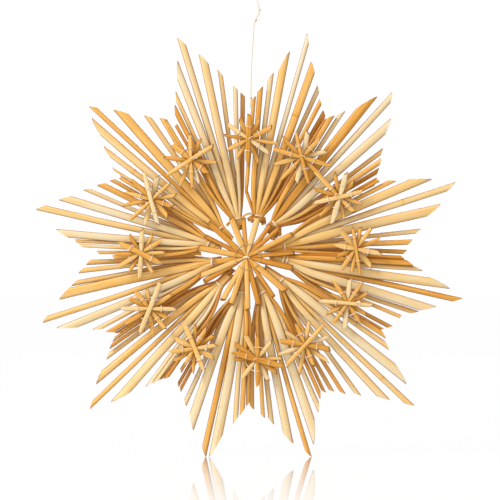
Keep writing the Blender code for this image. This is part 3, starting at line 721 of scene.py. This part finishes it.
def thread(shape, path, thickness, spacing=0.0003, sides=10, closed=False):
    """A two-ply twisted thread along a path."""
    ply = bpy.context.scene.straw_star.thread.ply
    path = resample(path, spacing, closed)
    if closed:
        along = unit_vectors(np.roll(path, -1, axis=0) - np.roll(path, 1, axis=0))
    else:
        along = unit_vectors(np.gradient(path, axis=0))
    # The sideways vector is carried along the path so that it doesn't spin, from forwards or, where the
    # path itself runs that way, from another vector
    across = np.zeros_like(along)
    guide = np.array((0.0, -1.0, 0.0))
    for k, direction in enumerate(along):
        if abs(guide @ direction) > 0.98:
            guide = np.array((0.3, -0.2, 0.9))
        guide = unit_vectors(guide - direction * (guide @ direction))
        across[k] = guide
    if closed:
        slip = math.atan2(np.cross(across[-1], across[0]) @ along[0], across[-1] @ across[0])
        spin = np.linspace(0, slip, len(along))
        across = across * np.cos(spin)[:, None] + np.cross(along, across) * np.sin(spin)[:, None]
    deep = np.cross(along, across)
    arc = arc_lengths(path)
    turns = arc / ply
    if closed:
        turns = np.round(arc[-1] / ply) * np.arange(len(path)) / len(path)
    turn = 2 * math.pi * np.arange(sides) / sides
    lobes = np.abs(np.cos(turn - math.pi * turns[:, None]))
    radius = thickness / 2 * (1 - PLY_DIP + PLY_DIP * lobes)
    rings = path[:, None] + across[:, None] * (radius * np.cos(turn))[..., None]
    rings = rings + deep[:, None] * (radius * np.sin(turn))[..., None]
    lie = np.stack(np.broadcast_arrays(np.cos(turn), np.sin(turn), arc[:, None] * 1000), axis=-1)
    # Painted shade in the groove between the plies
    groove = 1 - np.clip(lobes * GROOVE_STEEPNESS, 0, 1)
    shape.add_rings(rings, 0.0, lie, groove, 0.0, closed)


def node(tree, kind, **inputs):
    """A shader node with values or links for the inputs named or numbered."""
    made = tree.nodes.new(kind)
    for key, value in inputs.items():
        socket = made.inputs[int(key[1:])] if key[1:].isdigit() else made.inputs[key.replace("_", " ")]
        if isinstance(value, bpy.types.NodeSocket):
            tree.links.new(value, socket)
        else:
            socket.default_value = value
    return made


def maths(tree, operation, a, b=0.0, clamp=False):
    made = node(tree, "ShaderNodeMath", i0=a, i1=b)
    made.operation = operation
    made.use_clamp = clamp
    return made.outputs[0]


def attribute(tree, name, output):
    made = tree.nodes.new("ShaderNodeAttribute")
    made.attribute_name = name
    return made.outputs[output]


def colour_mix(tree, factor, first, second, blend="MIX"):
    """Two colours mixed by a factor. A colour is a link or a red, a green and a blue value."""
    mixed = tree.nodes.new("ShaderNodeMix")
    mixed.data_type = "RGBA"
    mixed.blend_type = blend
    tree.links.new(factor, mixed.inputs[0])
    for socket, colour_given in ((mixed.inputs[6], first), (mixed.inputs[7], second)):
        if isinstance(colour_given, bpy.types.NodeSocket):
            tree.links.new(colour_given, socket)
        else:
            socket.default_value = (*colour_given, 1)
    return mixed.outputs[2]


def new_group(name, inputs, outputs):
    """A new shader node group with the named inputs and outputs, and its two end nodes."""
    group = bpy.data.node_groups.new(name, "ShaderNodeTree")
    for way, sockets in (("INPUT", inputs), ("OUTPUT", outputs)):
        for key, kind in sockets.items():
            group.interface.new_socket(key, in_out=way, socket_type=f"NodeSocket{kind}")
    return group, group.nodes.new("NodeGroupInput"), group.nodes.new("NodeGroupOutput")


def straw_group():
    """Colour, roughness and relief of straw, from each vertex's tone and place on its straw, with painted
    shade along its edges and inside its cut ends.
    """
    group, given, result = new_group("Straw surface", {"Grain": "Float", "Facing": "Float"},
                                     {"Colour": "Color", "Roughness": "Float", "Normal": "Vector"})
    colours = bpy.context.scene.straw_star.colours
    lie = attribute(group, "lie", "Vector")

    def noise(mark):
        stretched = node(group, "ShaderNodeVectorMath", i0=lie, i1=(mark.across, mark.across, mark.along))
        stretched.operation = "MULTIPLY"
        return node(group, "ShaderNodeTexNoise", Vector=stretched.outputs[0], Scale=1.0,
                    Detail=mark.detail, Roughness=0.6).outputs["Fac"]

    fibre = noise(FIBRE)
    tone = attribute(group, "tone", "Fac")
    for source, mark in ((fibre, FIBRE), (noise(STREAK), STREAK), (noise(BLOTCH), BLOTCH)):
        swing = maths(group, "MULTIPLY", maths(group, "SUBTRACT", source, 0.5), mark.swing)
        swing = maths(group, "MULTIPLY", swing, given.outputs["Grain"])
        tone = maths(group, "ADD", tone, swing)
    knuckle = maths(group, "MULTIPLY", attribute(group, "knuckle", "Fac"), KNUCKLE_SHADE)
    ramp = node(group, "ShaderNodeValToRGB", Fac=maths(group, "ADD", tone, knuckle, clamp=True))
    while len(ramp.color_ramp.elements) < len(TONE_COLOURS):
        ramp.color_ramp.elements.new(0.5)
    for element, (place, colour_name) in zip(ramp.color_ramp.elements, TONE_COLOURS):
        element.position = place
        element.color = (*getattr(colours, colour_name), 1)
    # Painted shade on the inner wall in the hollow of a cut end
    hollow_shaded_skin = colour_mix(group, attribute(group, "wall", "Fac"), ramp.outputs[0], colours.inside)
    # Painted shade: a straw is painted darker and deeper in colour towards its edges as the camera sees them,
    # for the shade between neighbouring straws and the deeper colour of light through a straw's edge
    edge_shade_spread = maths(group, "MULTIPLY", given.outputs["Facing"], EDGE_SHADE_REACH, clamp=True)
    edge = maths(group, "POWER", edge_shade_spread, EDGE_SHADE_POWER)
    group.links.new(colour_mix(group, edge, hollow_shaded_skin, colours.edge, "MULTIPLY"), result.inputs["Colour"])
    rough = maths(group, "ADD", maths(group, "MULTIPLY", fibre, FIBRE_ROUGHNESS), STRAW_ROUGHNESS)
    group.links.new(rough, result.inputs["Roughness"])
    bump = node(group, "ShaderNodeBump", Strength=RELIEF, Distance=RELIEF_HEIGHT, Height=fibre)
    group.links.new(bump.outputs[0], result.inputs["Normal"])
    return group


def thread_group():
    """The colour of thread, with painted shade in the groove between its plies and a random darkening of its
    fuzz.
    """
    group, given, result = new_group("Thread surface", {"Colour": "Color"}, {"Colour": "Color"})
    fuzz = node(group, "ShaderNodeTexNoise", Vector=attribute(group, "lie", "Vector"), Scale=3.0, Detail=2.0)
    fuzz_shade = maths(group, "MULTIPLY", fuzz.outputs["Fac"], FUZZ_SHADE)
    groove_painted_shade = maths(group, "MULTIPLY", attribute(group, "wall", "Fac"), GROOVE_PAINTED_SHADE)
    shade = maths(group, "ADD", groove_painted_shade, fuzz_shade, clamp=True)
    shaded = colour_mix(group, shade, given.outputs["Colour"], (SHADED_THREAD,) * 3, "MULTIPLY")
    group.links.new(shaded, result.inputs["Colour"])
    return group


def surfaced_material(name, group):
    """A new material with a node group in it, linked to its shader, and both of their nodes."""
    made = bpy.data.materials.new(name)
    made.use_nodes = True
    shader = made.node_tree.nodes["Principled BSDF"]
    surface = made.node_tree.nodes.new("ShaderNodeGroup")
    surface.node_tree = group
    made.node_tree.links.new(surface.outputs["Colour"], shader.inputs["Base Color"])
    return made, shader, surface


def straw_material(name, grain):
    """Straw with a material of its own, and how strong its grain is."""
    group = bpy.data.node_groups.get("Straw surface") or straw_group()
    made, shader, surface = surfaced_material(name, group)
    tree = made.node_tree
    shader.inputs["Specular IOR Level"].default_value = STRAW_SHINE
    surface.inputs["Grain"].default_value = grain
    # The facing drives the painted shade along the straw's edges
    facing = node(tree, "ShaderNodeLayerWeight", Blend=0.5).outputs["Facing"]
    tree.links.new(facing, surface.inputs["Facing"])
    tree.links.new(surface.outputs["Roughness"], shader.inputs["Roughness"])
    tree.links.new(surface.outputs["Normal"], shader.inputs["Normal"])
    return made


def thread_material(name="Cotton thread", colour_name="thread"):
    """Thread of one of the set colours."""
    if name in bpy.data.materials:
        return bpy.data.materials[name]
    group = bpy.data.node_groups.get("Thread surface") or thread_group()
    made, shader, surface = surfaced_material(name, group)
    shader.inputs["Roughness"].default_value = THREAD_ROUGHNESS
    surface.inputs["Colour"].default_value = (*getattr(bpy.context.scene.straw_star.colours, colour_name), 1)
    return made


def layer_of(fan, k):
    """A straw's layer: -1 in front, for the wide straws beside the peak and every second one from there."""
    if (k - fan.peak) % 2:
        return -1
    return 1 if k > fan.peak else 0


def fan_frame(fan):
    """The middle of a fan's tie, and the unit vectors along the fan and across it."""
    tie = polar(fan.bearing, fan.reach * UNIT)
    along = unit_vectors(tie - CENTRE)
    return tie, along, lateral(along)


def valley(fan, beside, side):
    """The bearing at which a fan meets the one beside it, at the reach of its straws' knees."""
    if FANS[KINKED_FAN - 1] is (fan if side > 0 else beside):
        return KINK[0] - side * KINK_GAP
    turn = 360 if fan.bearing * side > beside.bearing * side else 0
    tips = (fan.straws[0], beside.straws[-1]) if side > 0 else (fan.straws[-1], beside.straws[0])
    return (fan.bearing + beside.bearing + tips[0][0] + tips[1][0]) / 4 + side * turn / 2


def knee_bearings(fan):
    """Where a fan's straws cross the circle of their knees: side by side, from one valley to the other."""
    place = FANS.index(fan)
    first = valley(fan, FANS[place - 1], 1)
    last = valley(fan, FANS[(place + 1) % len(FANS)], -1)
    widths = np.array([width for *_, width, _ in fan.straws])
    middles = np.cumsum(widths) - widths / 2
    return first + (last - first) * middles / widths.sum()


def fan_straw(shape, fan, k, rng, kinked):
    """One straw of a fan, from its stub inside the tie to its slanted tip."""
    sizes = bpy.context.scene.straw_star.straw
    bearing, reach, drop, width, tone = fan.straws[k]
    width *= UNIT * WIDEN
    count = len(fan.straws)
    layer = layer_of(fan, k)
    lean = max(-1, min(1, (fan.straws[fan.peak][0] - bearing) / LEAN_SPAN))
    depth = layer * LAYER_STEP + lean * LEAN
    tie, along, across = fan_frame(fan)
    deep = np.array((0.0, 1.0, 0.0))
    side = (1 - 2 * k / (count - 1)) * WAIST_HALF_WIDTH
    waist = tie + across * side + deep * layer * WAIST_STEP
    stub = waist - along * fan.stub / 1000 * rng.uniform(0.55, 1.05)
    if fan is FANS[KINKED_FAN - 1]:
        splay = KINKED_SPLAY
    else:
        splay = rng.uniform(*SPLAY) - fan.stub * SPLAY_LOSS
    stub = stub + across * side * splay + deep * layer * STUB_STEP
    tip_side = -1 if k < fan.peak else 1
    apex = polar(bearing, reach * UNIT, depth)
    end = apex - lateral(apex - CENTRE) * tip_side * width / 2
    if kinked:
        kink = polar(KINK[0], KINK[1] * UNIT, -LAYER_STEP)
        corners = np.array((stub, waist, kink, end))
        stretches = [np.linspace(a, b, 12, endpoint=False) for a, b in zip(corners, corners[1:])]
        path = np.concatenate([*stretches, [end]])
    else:
        knee = polar(knee_bearings(fan)[k], KNEE_REACH * UNIT, depth)
        bow = lateral(end - knee) * rng.uniform(-BOW, BOW)
        path = rounded((waist, knee, (knee + end) / 2 + bow, end), 0.001, sizes.bend)
        path = np.concatenate([[stub, (stub + waist) / 2], path])
    arc = arc_lengths(path)
    waist_arc = np.linalg.norm(waist - stub)
    grown = 1 - np.exp(-np.maximum(arc - waist_arc, 0) / sizes.opening)
    flare = np.clip((waist_arc - arc) / waist_arc, 0, 1)
    widths = sizes.waist_width * (1 + STUB_WIDER * flare) + (width - sizes.waist_width) * grown
    full_depth = min(sizes.depth, width * ROUNDEST)
    depths = sizes.waist_depth * (1 + STUB_THICKER * flare) + (full_depth - sizes.waist_depth) * grown
    # Painted shade where the straws crowd at the tie and in their stubs inside it
    tones = table_tone(tone, FAN_TONES) + TIE_PAINTED_SHADE * (1 - grown + flare)
    tones = tones + FADE * (FADE_MIDDLE - arc / arc[-1])
    if kinked:
        crease = np.exp(-(np.linalg.norm(path - kink, axis=1) / CREASE_LENGTH) ** 2)
        widths = widths * (1 - CREASE_PINCH * crease)
        tones = tones + CREASE_SHADE * crease
    knuckle = None
    if rng.random() < KNUCKLE_CHANCE and not kinked:
        knuckle = waist_arc + rng.uniform(0.45, 0.85) * (arc[-1] - waist_arc)
    straw(shape, path, widths, depths, tones, rng.random() * 9, (rng.uniform(0.0004, 0.001), 1),
          (drop * UNIT, tip_side), roll=math.radians(rng.uniform(-7, 7)), knuckle=knuckle)


def cut_end(shape, start, end, width, tone, rng):
    """A short straw that was cut off beside a tie."""
    path = np.linspace(spot(*start, CUT_END_DEPTHS[0]), spot(*end, CUT_END_DEPTHS[1]), 6)
    straw(shape, path, width * UNIT, CUT_END_THICKNESS, table_tone(tone, CUT_END_TONES), rng.random() * 9,
          (0.0004, 1), (0.0007, -1), sides=12, spacing=0.001)


class STRAWSTAR_OT_fans(bpy.types.Operator):
    """Build the twelve fans of straw"""

    bl_idname = "strawstar.fans"
    bl_label = "Fans"

    def execute(self, context):
        material = straw_material("Fan straw", 1.0)
        for number, fan in enumerate(FANS, 1):
            rng = random.Random(number)
            shape = Shape()
            for k in range(len(fan.straws)):
                fan_straw(shape, fan, k, rng, k == 0 and number == KINKED_FAN)
            if number == KINKED_FAN:
                arch = spline([spot(*point) for point in ARCH], 8)
                straw(shape, arch, ARCH_WIDTH, ARCH_THICKNESS, ARCH_TONE, rng.random() * 9,
                      (0.001, 1), (0.001, -1), spacing=0.001)
            for owner, *cut in CUT_ENDS:
                if owner == number:
                    cut_end(shape, *cut, rng)
            shape.build(f"fan_straws_{number:02}", material, "fan_straw", f"straw_fan_{number:02}")
        return {"FINISHED"}


class STRAWSTAR_OT_windings(bpy.types.Operator):
    """Wind thread round the waist of each fan"""

    bl_idname = "strawstar.windings"
    bl_label = "Windings"

    def execute(self, context):
        thickness = context.scene.straw_star.thread.winding
        for number, fan in enumerate(FANS, 1):
            rng = random.Random(100 + number)
            tie, along, across = fan_frame(fan)
            deep = np.array((0.0, 1.0, 0.0))
            slant = rng.uniform(-0.0005, 0.0005)
            angle = np.linspace(0.5 * math.pi, (0.5 + 2 * WINDING_TURNS) * math.pi, 90)
            rise = np.linspace(-0.5, 0.5, 90) * thickness * WINDING_RISE
            path = tie + across * (WINDING_HALF_WIDTH * np.cos(angle))[:, None]
            path = path + deep * (WINDING_HALF_DEPTH * np.sin(angle))[:, None]
            path = path + along * (rise + slant * np.cos(angle))[:, None]
            shape = Shape()
            for shift in ((-BAND_SHIFT, BAND_SHIFT) if number == DOUBLE_WOUND_FAN else (0.0,)):
                thread(shape, path + along * shift, thickness)
            for owner, *points in LOOSE_ENDS:
                if owner == number:
                    route = spline([spot(x, y, LOOSE_END_DEPTH) for x, y in points], 8)
                    thread(shape, route, thickness * LOOSE_END_SHARE)
            shape.build(f"fan_winding_{number:02}", thread_material(), "thread", f"fan_binding_{number:02}")
        return {"FINISHED"}


def star_rays(star):
    """A small star's straws, each with its direction, depth, width, step from the back, tones and reaches."""
    nearest = FAN_FRONT - GAP - bpy.context.scene.straw_star.straw.small_depth / 2
    return [(towards(bearing), nearest - step * SMALL_LAYER_STEP, width * UNIT, step, ends)
            for step, (bearing, width, *ends) in enumerate(star.straws)]


def ray_depth(step, out):
    """How far a small star's straw has bent towards the middle layer, a share out from its centre."""
    middle_step = (len(PINCHES) - 1) / 2
    return (step - middle_step) * SMALL_LAYER_STEP * SMALL_BEND * out ** 2


def woven_ring(shape, middle, radius, crossings, steps, thickness, shift=0.0):
    """A thread round a middle. A crossing is a ray's angle, the spread either side of it, and a level."""
    points = []
    for angle, spread, level in sorted(crossings):
        for place in (angle - spread, angle + spread):
            reach = radius * (1 + shift * math.cos(place))
            points.append(middle + np.array((reach * math.cos(place), level, reach * math.sin(place))))
    thread(shape, spline(points, steps, closed=True), thickness, closed=True)


class STRAWSTAR_OT_small_stars(bpy.types.Operator):
    """Build the straws of the twelve small stars"""

    bl_idname = "strawstar.small_stars"
    bl_label = "Small Stars"

    def execute(self, context):
        sizes = context.scene.straw_star.straw
        material = straw_material("Small star straw", 1.1)
        for number, star in enumerate(SMALL_STARS, 1):
            rng = random.Random(200 + number)
            middle = polar(star.bearing, star.reach * UNIT)
            shape = Shape()
            for direction, depth, width, step, (head_tone, tail_tone, head, tail) in star_rays(star):
                u = np.linspace(-1, 1, 33)
                reach = np.where(u > 0, head, tail) * sizes.small_length / SMALL_UNITS
                path = middle + direction * (u * reach)[:, None]
                path[:, 1] += depth + ray_depth(step, u)
                bow = rng.uniform(-SMALL_BOW, SMALL_BOW) * (1 - u ** 2)
                path = path + lateral(direction) * bow[:, None]
                pinch = np.exp(-(u / PINCH_SHARE) ** 2)
                narrowed = np.where(u < 0, rng.uniform(0.1, 0.6), rng.uniform(0.1, 0.6))
                tapered = np.clip((np.abs(u) - TAPER_START) / (1 - TAPER_START), 0, 1) ** 1.3
                widths = width * (1 - PINCHES[step] * pinch) * (1 - narrowed * tapered)
                depths = sizes.small_depth * (1 - PINCH_THINNED * pinch)
                tones = table_tone(np.where(u > 0, head_tone, tail_tone), SMALL_STAR_TONES)
                side = 1 if step % 2 else -1
                cuts = [width * rng.uniform(0.3, 1.1) for _ in range(2)]
                straw(shape, path, widths, depths, tones + SMALL_TIE_SHADE * pinch, rng.random() * 9,
                      (cuts[0], -side), (cuts[1], side), sides=14, spacing=0.0017,
                      roll=math.radians(rng.uniform(-8, 8)), scoop=rng.uniform(0, 0.0014))
            shape.build(f"small_star_straws_{number:02}", material, "small_star_straw",
                        f"small_star_{number:02}")
        return {"FINISHED"}


class STRAWSTAR_OT_small_weaves(bpy.types.Operator):
    """Weave a thread through each small star, over its front rays and under its back rays"""

    bl_idname = "strawstar.small_weaves"
    bl_label = "Small Star Threads"

    def execute(self, context):
        sizes = context.scene.straw_star
        thickness = sizes.thread.weave
        out = WEAVE_RADIUS / (sizes.straw.small_length / 2)
        clear = sizes.straw.small_depth / 2 + thickness / 2
        for number, star in enumerate(SMALL_STARS, 1):
            middle = polar(star.bearing, star.reach * UNIT)
            crossings = []
            for direction, depth, width, step, _ in star_rays(star):
                level = depth + ray_depth(step, out) + (-clear if step > 2 else clear)
                level = min(level, FAN_FRONT - thickness / 2)
                spread = math.atan2(width * WEAVE_HOLD, WEAVE_RADIUS)
                for turn in (0, math.pi):
                    angle = math.atan2(direction[2], direction[0]) + turn
                    crossings.append((angle % (2 * math.pi), spread, level))
            shape = Shape()
            woven_ring(shape, middle, WEAVE_RADIUS, crossings, 5, thickness)
            front = star_rays(star)[-1][1] - clear
            for owner, *points in STITCHES:
                if owner == number:
                    stitch = [middle + np.array((x * UNIT, front, y * UNIT)) for x, y in points]
                    thread(shape, spline(stitch, 8), thickness)
            shape.build(f"small_star_weave_{number:02}", thread_material(), "thread",
                        f"small_star_thread_{number:02}")
        return {"FINISHED"}


class STRAWSTAR_OT_rosette(bpy.types.Operator):
    """Build the rays of the centre rosette"""

    bl_idname = "strawstar.rosette"
    bl_label = "Rosette"

    def execute(self, context):
        material = straw_material("Rosette straw", 0.9)
        rng = random.Random(300)
        shape = Shape()
        for bearing, reach, width, tone, front in ROSETTE:
            end = reach * UNIT
            r = np.linspace(RAY_START, end, 30)
            path = CENTRE + towards(bearing) * r[:, None]
            path[:, 1] += ROSETTE_DEPTH + RAY_LEVELS[front]
            opened = np.clip((r / UNIT - 1) / RAY_OPENING, 0, 1) ** 0.8
            widths = RAY_WAIST_WIDTH + (width * UNIT * RAY_WIDEN - RAY_WAIST_WIDTH) * opened
            depths = RAY_WAIST_DEPTH + RAY_THICKER * opened
            tip = np.exp(-((end - r) / RAY_TIP_LENGTH) ** 2)
            # Painted shade at the rosette's middle, where its rays crowd together
            tones = table_tone(tone, ROSETTE_TONES) + ROSETTE_PAINTED_SHADE * (1 - opened) + RAY_TIP_SHADE * tip
            straw(shape, path, widths, depths, tones, rng.random() * 9, (0.0, 1),
                  (width * UNIT * rng.uniform(0.1, 0.5), rng.choice((-1, 1))), sides=14, spacing=0.0018,
                  roll=math.radians(rng.uniform(-5, 5)), scoop=rng.uniform(0.0006, 0.0018))
        shape.build("rosette_straws", material, "rosette_straw", "centre_rosette")
        return {"FINISHED"}


class STRAWSTAR_OT_rosette_thread(bpy.types.Operator):
    """Tie the rosette at its centre and weave its ring"""

    bl_idname = "strawstar.rosette_thread"
    bl_label = "Rosette Thread"

    def execute(self, context):
        thickness = context.scene.straw_star.thread.ring
        radius = RING_REACH * UNIT
        crossings = []
        for bearing, _, width, _, front in ROSETTE:
            spread = math.atan2(width * UNIT * RING_HOLD, radius)
            level = ROSETTE_DEPTH + RING_LEVELS[front]
            crossings.append((math.radians(bearing) % (2 * math.pi), spread, level))
        ring = Shape()
        woven_ring(ring, CENTRE, radius, crossings, 3, thickness, RING_SHIFT)
        ring.build("rosette_weave", thread_material("Golden thread", "gold"), "thread", "rosette_thread")
        shape = Shape()
        for lift in KNOT_LIFTS:
            path = [spot(x, y + lift, KNOT_DEPTH + depth) for x, y, depth in KNOT_ROUTE]
            thread(shape, spline(path, 8), thickness * KNOT_SHARE)
        shape.build("rosette_knot", thread_material(), "thread")
        return {"FINISHED"}


def knot(shape, at, along):
    """A small knot: thread wound round a point, with its windings crossing."""
    along = unit_vectors(np.array(along, float))
    across = lateral(along)
    deep = np.cross(along, across)
    angle = np.linspace(0, 2 * math.pi * WOUND_TURNS, 60)
    rise = np.sin(angle / WOUND_TURNS * 1.5) * WOUND_THREAD * 0.9
    swell = WOUND_RADIUS * (1 + WOUND_SWELL * np.sin(angle * 0.7))
    path = np.array(at) + across * (swell * np.cos(angle))[:, None] + deep * (swell * np.sin(angle))[:, None]
    thread(shape, path + along * rise[:, None], WOUND_THREAD, spacing=0.00025)


class STRAWSTAR_OT_hanging_thread(bpy.types.Operator):
    """Hang the star on its thread, with the knots, the side loop and the eye"""

    bl_idname = "strawstar.hanging_thread"
    bl_label = "Hanging Thread"

    def execute(self, context):
        sizes = context.scene.straw_star.thread
        material = thread_material("Hanging thread", "cord")
        route = resample(spline(CORD_ROUTE, 20), 0.001)
        cord = Shape()
        thread(cord, route, sizes.cord, sides=12)
        cord_item = cord.build("hanging_cord", material, "thread", "hanging_thread")
        knots = Shape()
        for k in KNOTTED_POINTS:
            knot(knots, CORD_ROUTE[k], np.array(CORD_ROUTE[k + 1]) - np.array(CORD_ROUTE[k - 1]))
        thread(knots, spline(SIDE_LOOP, 10), SIDE_LOOP_THICKNESS)
        thread(knots, spline(THREAD_TAIL, 10), THREAD_TAIL_THICKNESS)
        knots_item = knots.build("cord_knots", material, "thread",
                                 "thread_knot_lower", "thread_knot_middle", "thread_knot_upper")
        turn = 2 * math.pi * np.arange(40) / 40
        half_height = (EYE_HEIGHT - sizes.eye) / 2
        half_width = EYE_WIDTH / 2 * (1 - EYE_TAPER + EYE_TAPER * np.sin(turn))
        height = half_height * np.sin(turn) - EYE_HEIGHT / 2
        ring = np.stack([half_width * np.cos(turn), 0 * turn, height], axis=1)
        eye = Shape()
        thread(eye, ring, sizes.eye, closed=True)
        eye_item = eye.build("cord_eye", material, "thread", "thread_eye")
        return {"FINISHED"}


def floor_material():
    """A pale glossy floor whose mirroring fades towards the camera."""
    settings = bpy.context.scene.straw_star
    made = bpy.data.materials.new("Floor")
    made.use_nodes = True
    tree = made.node_tree
    matt = tree.nodes["Principled BSDF"]
    lit = [FLOOR_LIT * channel for channel in settings.colours.floor]
    matt.inputs["Base Color"].default_value = (*lit, 1)
    matt.inputs["Emission Color"].default_value = (*settings.colours.floor, 1)
    matt.inputs["Emission Strength"].default_value = FLOOR_GLOW
    matt.inputs["Roughness"].default_value = 1.0
    matt.inputs["Specular IOR Level"].default_value = 0.0
    mirror = node(tree, "ShaderNodeBsdfGlossy", Color=MIRROR_COLOUR, Roughness=MIRROR_ROUGHNESS)
    place = node(tree, "ShaderNodeSeparateXYZ", Vector=tree.nodes.new("ShaderNodeTexCoord").outputs["Object"])
    gloss = settings.stage.gloss
    fade = node(tree, "ShaderNodeMapRange", Value=place.outputs["Y"], From_Min=FADED_AT, From_Max=0.0,
                To_Min=gloss * FADED_TO, To_Max=gloss)
    both = node(tree, "ShaderNodeMixShader", i0=fade.outputs[0], i1=matt.outputs[0], i2=mirror.outputs[0])
    tree.links.new(both.outputs[0], tree.nodes["Material Output"].inputs["Surface"])
    return made


class STRAWSTAR_OT_stage(bpy.types.Operator):
    """Set the floor, the light and the camera"""

    bl_idname = "strawstar.stage"
    bl_label = "Stage"

    def execute(self, context):
        scene = context.scene
        settings = scene.straw_star.stage
        mesh = bpy.data.meshes.new("floor")
        corners = ((-1, -1), (1, -1), (1, 1), (-1, 1))
        mesh.from_pydata([(x * FLOOR_HALF, y * FLOOR_HALF, 0) for x, y in corners], [], [(0, 1, 2, 3)])
        mesh.materials.append(floor_material())
        floor = bpy.data.objects.new("floor", mesh)
        floor.location.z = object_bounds()[0].z
        scene.collection.objects.link(floor)
        floor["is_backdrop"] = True
        world = bpy.data.worlds.new("Studio")
        world.use_nodes = True
        background = world.node_tree.nodes["Background"]
        # The surroundings look white, but the light that they shed on the straw is warm
        lit = world.node_tree.nodes.new("ShaderNodeLightPath").outputs["Is Diffuse Ray"]
        shed = [settings.fill * channel for channel in FILL_COLOUR]
        seen = colour_mix(world.node_tree, lit, (settings.sky,) * 3, shed)
        world.node_tree.links.new(seen, background.inputs["Color"])
        scene.world = world
        for name, power, place in (("key", settings.key, KEY_PLACE), ("back", settings.back, BACK_PLACE)):
            light = bpy.data.lights.new(name, "AREA")
            light.energy = power
            light.size = LIGHT_SIZE
            light.color = LIGHT_COLOUR
            lamp = bpy.data.objects.new(name, light)
            lamp.location = place
            lamp.rotation_mode = "QUATERNION"
            lamp.rotation_quaternion = (Vector(VIEW_MIDDLE) - lamp.location).to_track_quat("-Z", "Y")
            scene.collection.objects.link(lamp)
        lens = bpy.data.cameras.new("camera")
        lens.sensor_width = 36
        lens.lens = lens.sensor_width * settings.distance / VIEW_WIDTH
        lens.clip_start = 0.05
        camera = bpy.data.objects.new("camera", lens)
        camera.location = (VIEW_MIDDLE[0], VIEW_MIDDLE[1] - settings.distance, VIEW_MIDDLE[2])
        camera.rotation_euler = (math.radians(90), 0, 0)
        scene.collection.objects.link(camera)
        scene.camera = camera
        scene.view_settings.view_transform = "Standard"
        return {"FINISHED"}


class STRAWSTAR_PT_panel(bpy.types.Panel):
    """Sizes, colours and buttons of the ornament."""

    bl_idname = "STRAWSTAR_PT_panel"
    bl_label = "Straw Star"
    bl_space_type = "VIEW_3D"
    bl_region_type = "UI"
    bl_category = "Straw Star"

    def draw(self, context):
        settings = context.scene.straw_star
        for group in (settings.straw, settings.thread, settings.colours, settings.stage):
            box = self.layout.box()
            for key in group.__annotations__:
                box.prop(group, key)
        for operator in OPERATORS:
            self.layout.operator(operator.bl_idname)


OPERATORS = (
    STRAWSTAR_OT_fans,
    STRAWSTAR_OT_windings,
    STRAWSTAR_OT_small_stars,
    STRAWSTAR_OT_small_weaves,
    STRAWSTAR_OT_rosette,
    STRAWSTAR_OT_rosette_thread,
    STRAWSTAR_OT_hanging_thread,
    STRAWSTAR_OT_stage,
)
CLASSES = (
    STRAWSTAR_PG_straw,
    STRAWSTAR_PG_thread,
    STRAWSTAR_PG_colours,
    STRAWSTAR_PG_stage,
    STRAWSTAR_PG_settings,
    *OPERATORS,
    STRAWSTAR_PT_panel,
)


def register():
    for item in CLASSES:
        bpy.utils.register_class(item)
    bpy.types.Scene.straw_star = PointerProperty(type=STRAWSTAR_PG_settings)


def unregister():
    del bpy.types.Scene.straw_star
    for item in reversed(CLASSES):
        bpy.utils.unregister_class(item)


def main():
    register()
    bpy.ops.strawstar.fans()
    bpy.ops.strawstar.windings()
    bpy.ops.strawstar.small_stars()
    bpy.ops.strawstar.small_weaves()
    bpy.ops.strawstar.rosette()
    bpy.ops.strawstar.rosette_thread()
    bpy.ops.strawstar.hanging_thread()
    bpy.ops.strawstar.stage()


if __name__ == "__main__":
    main()
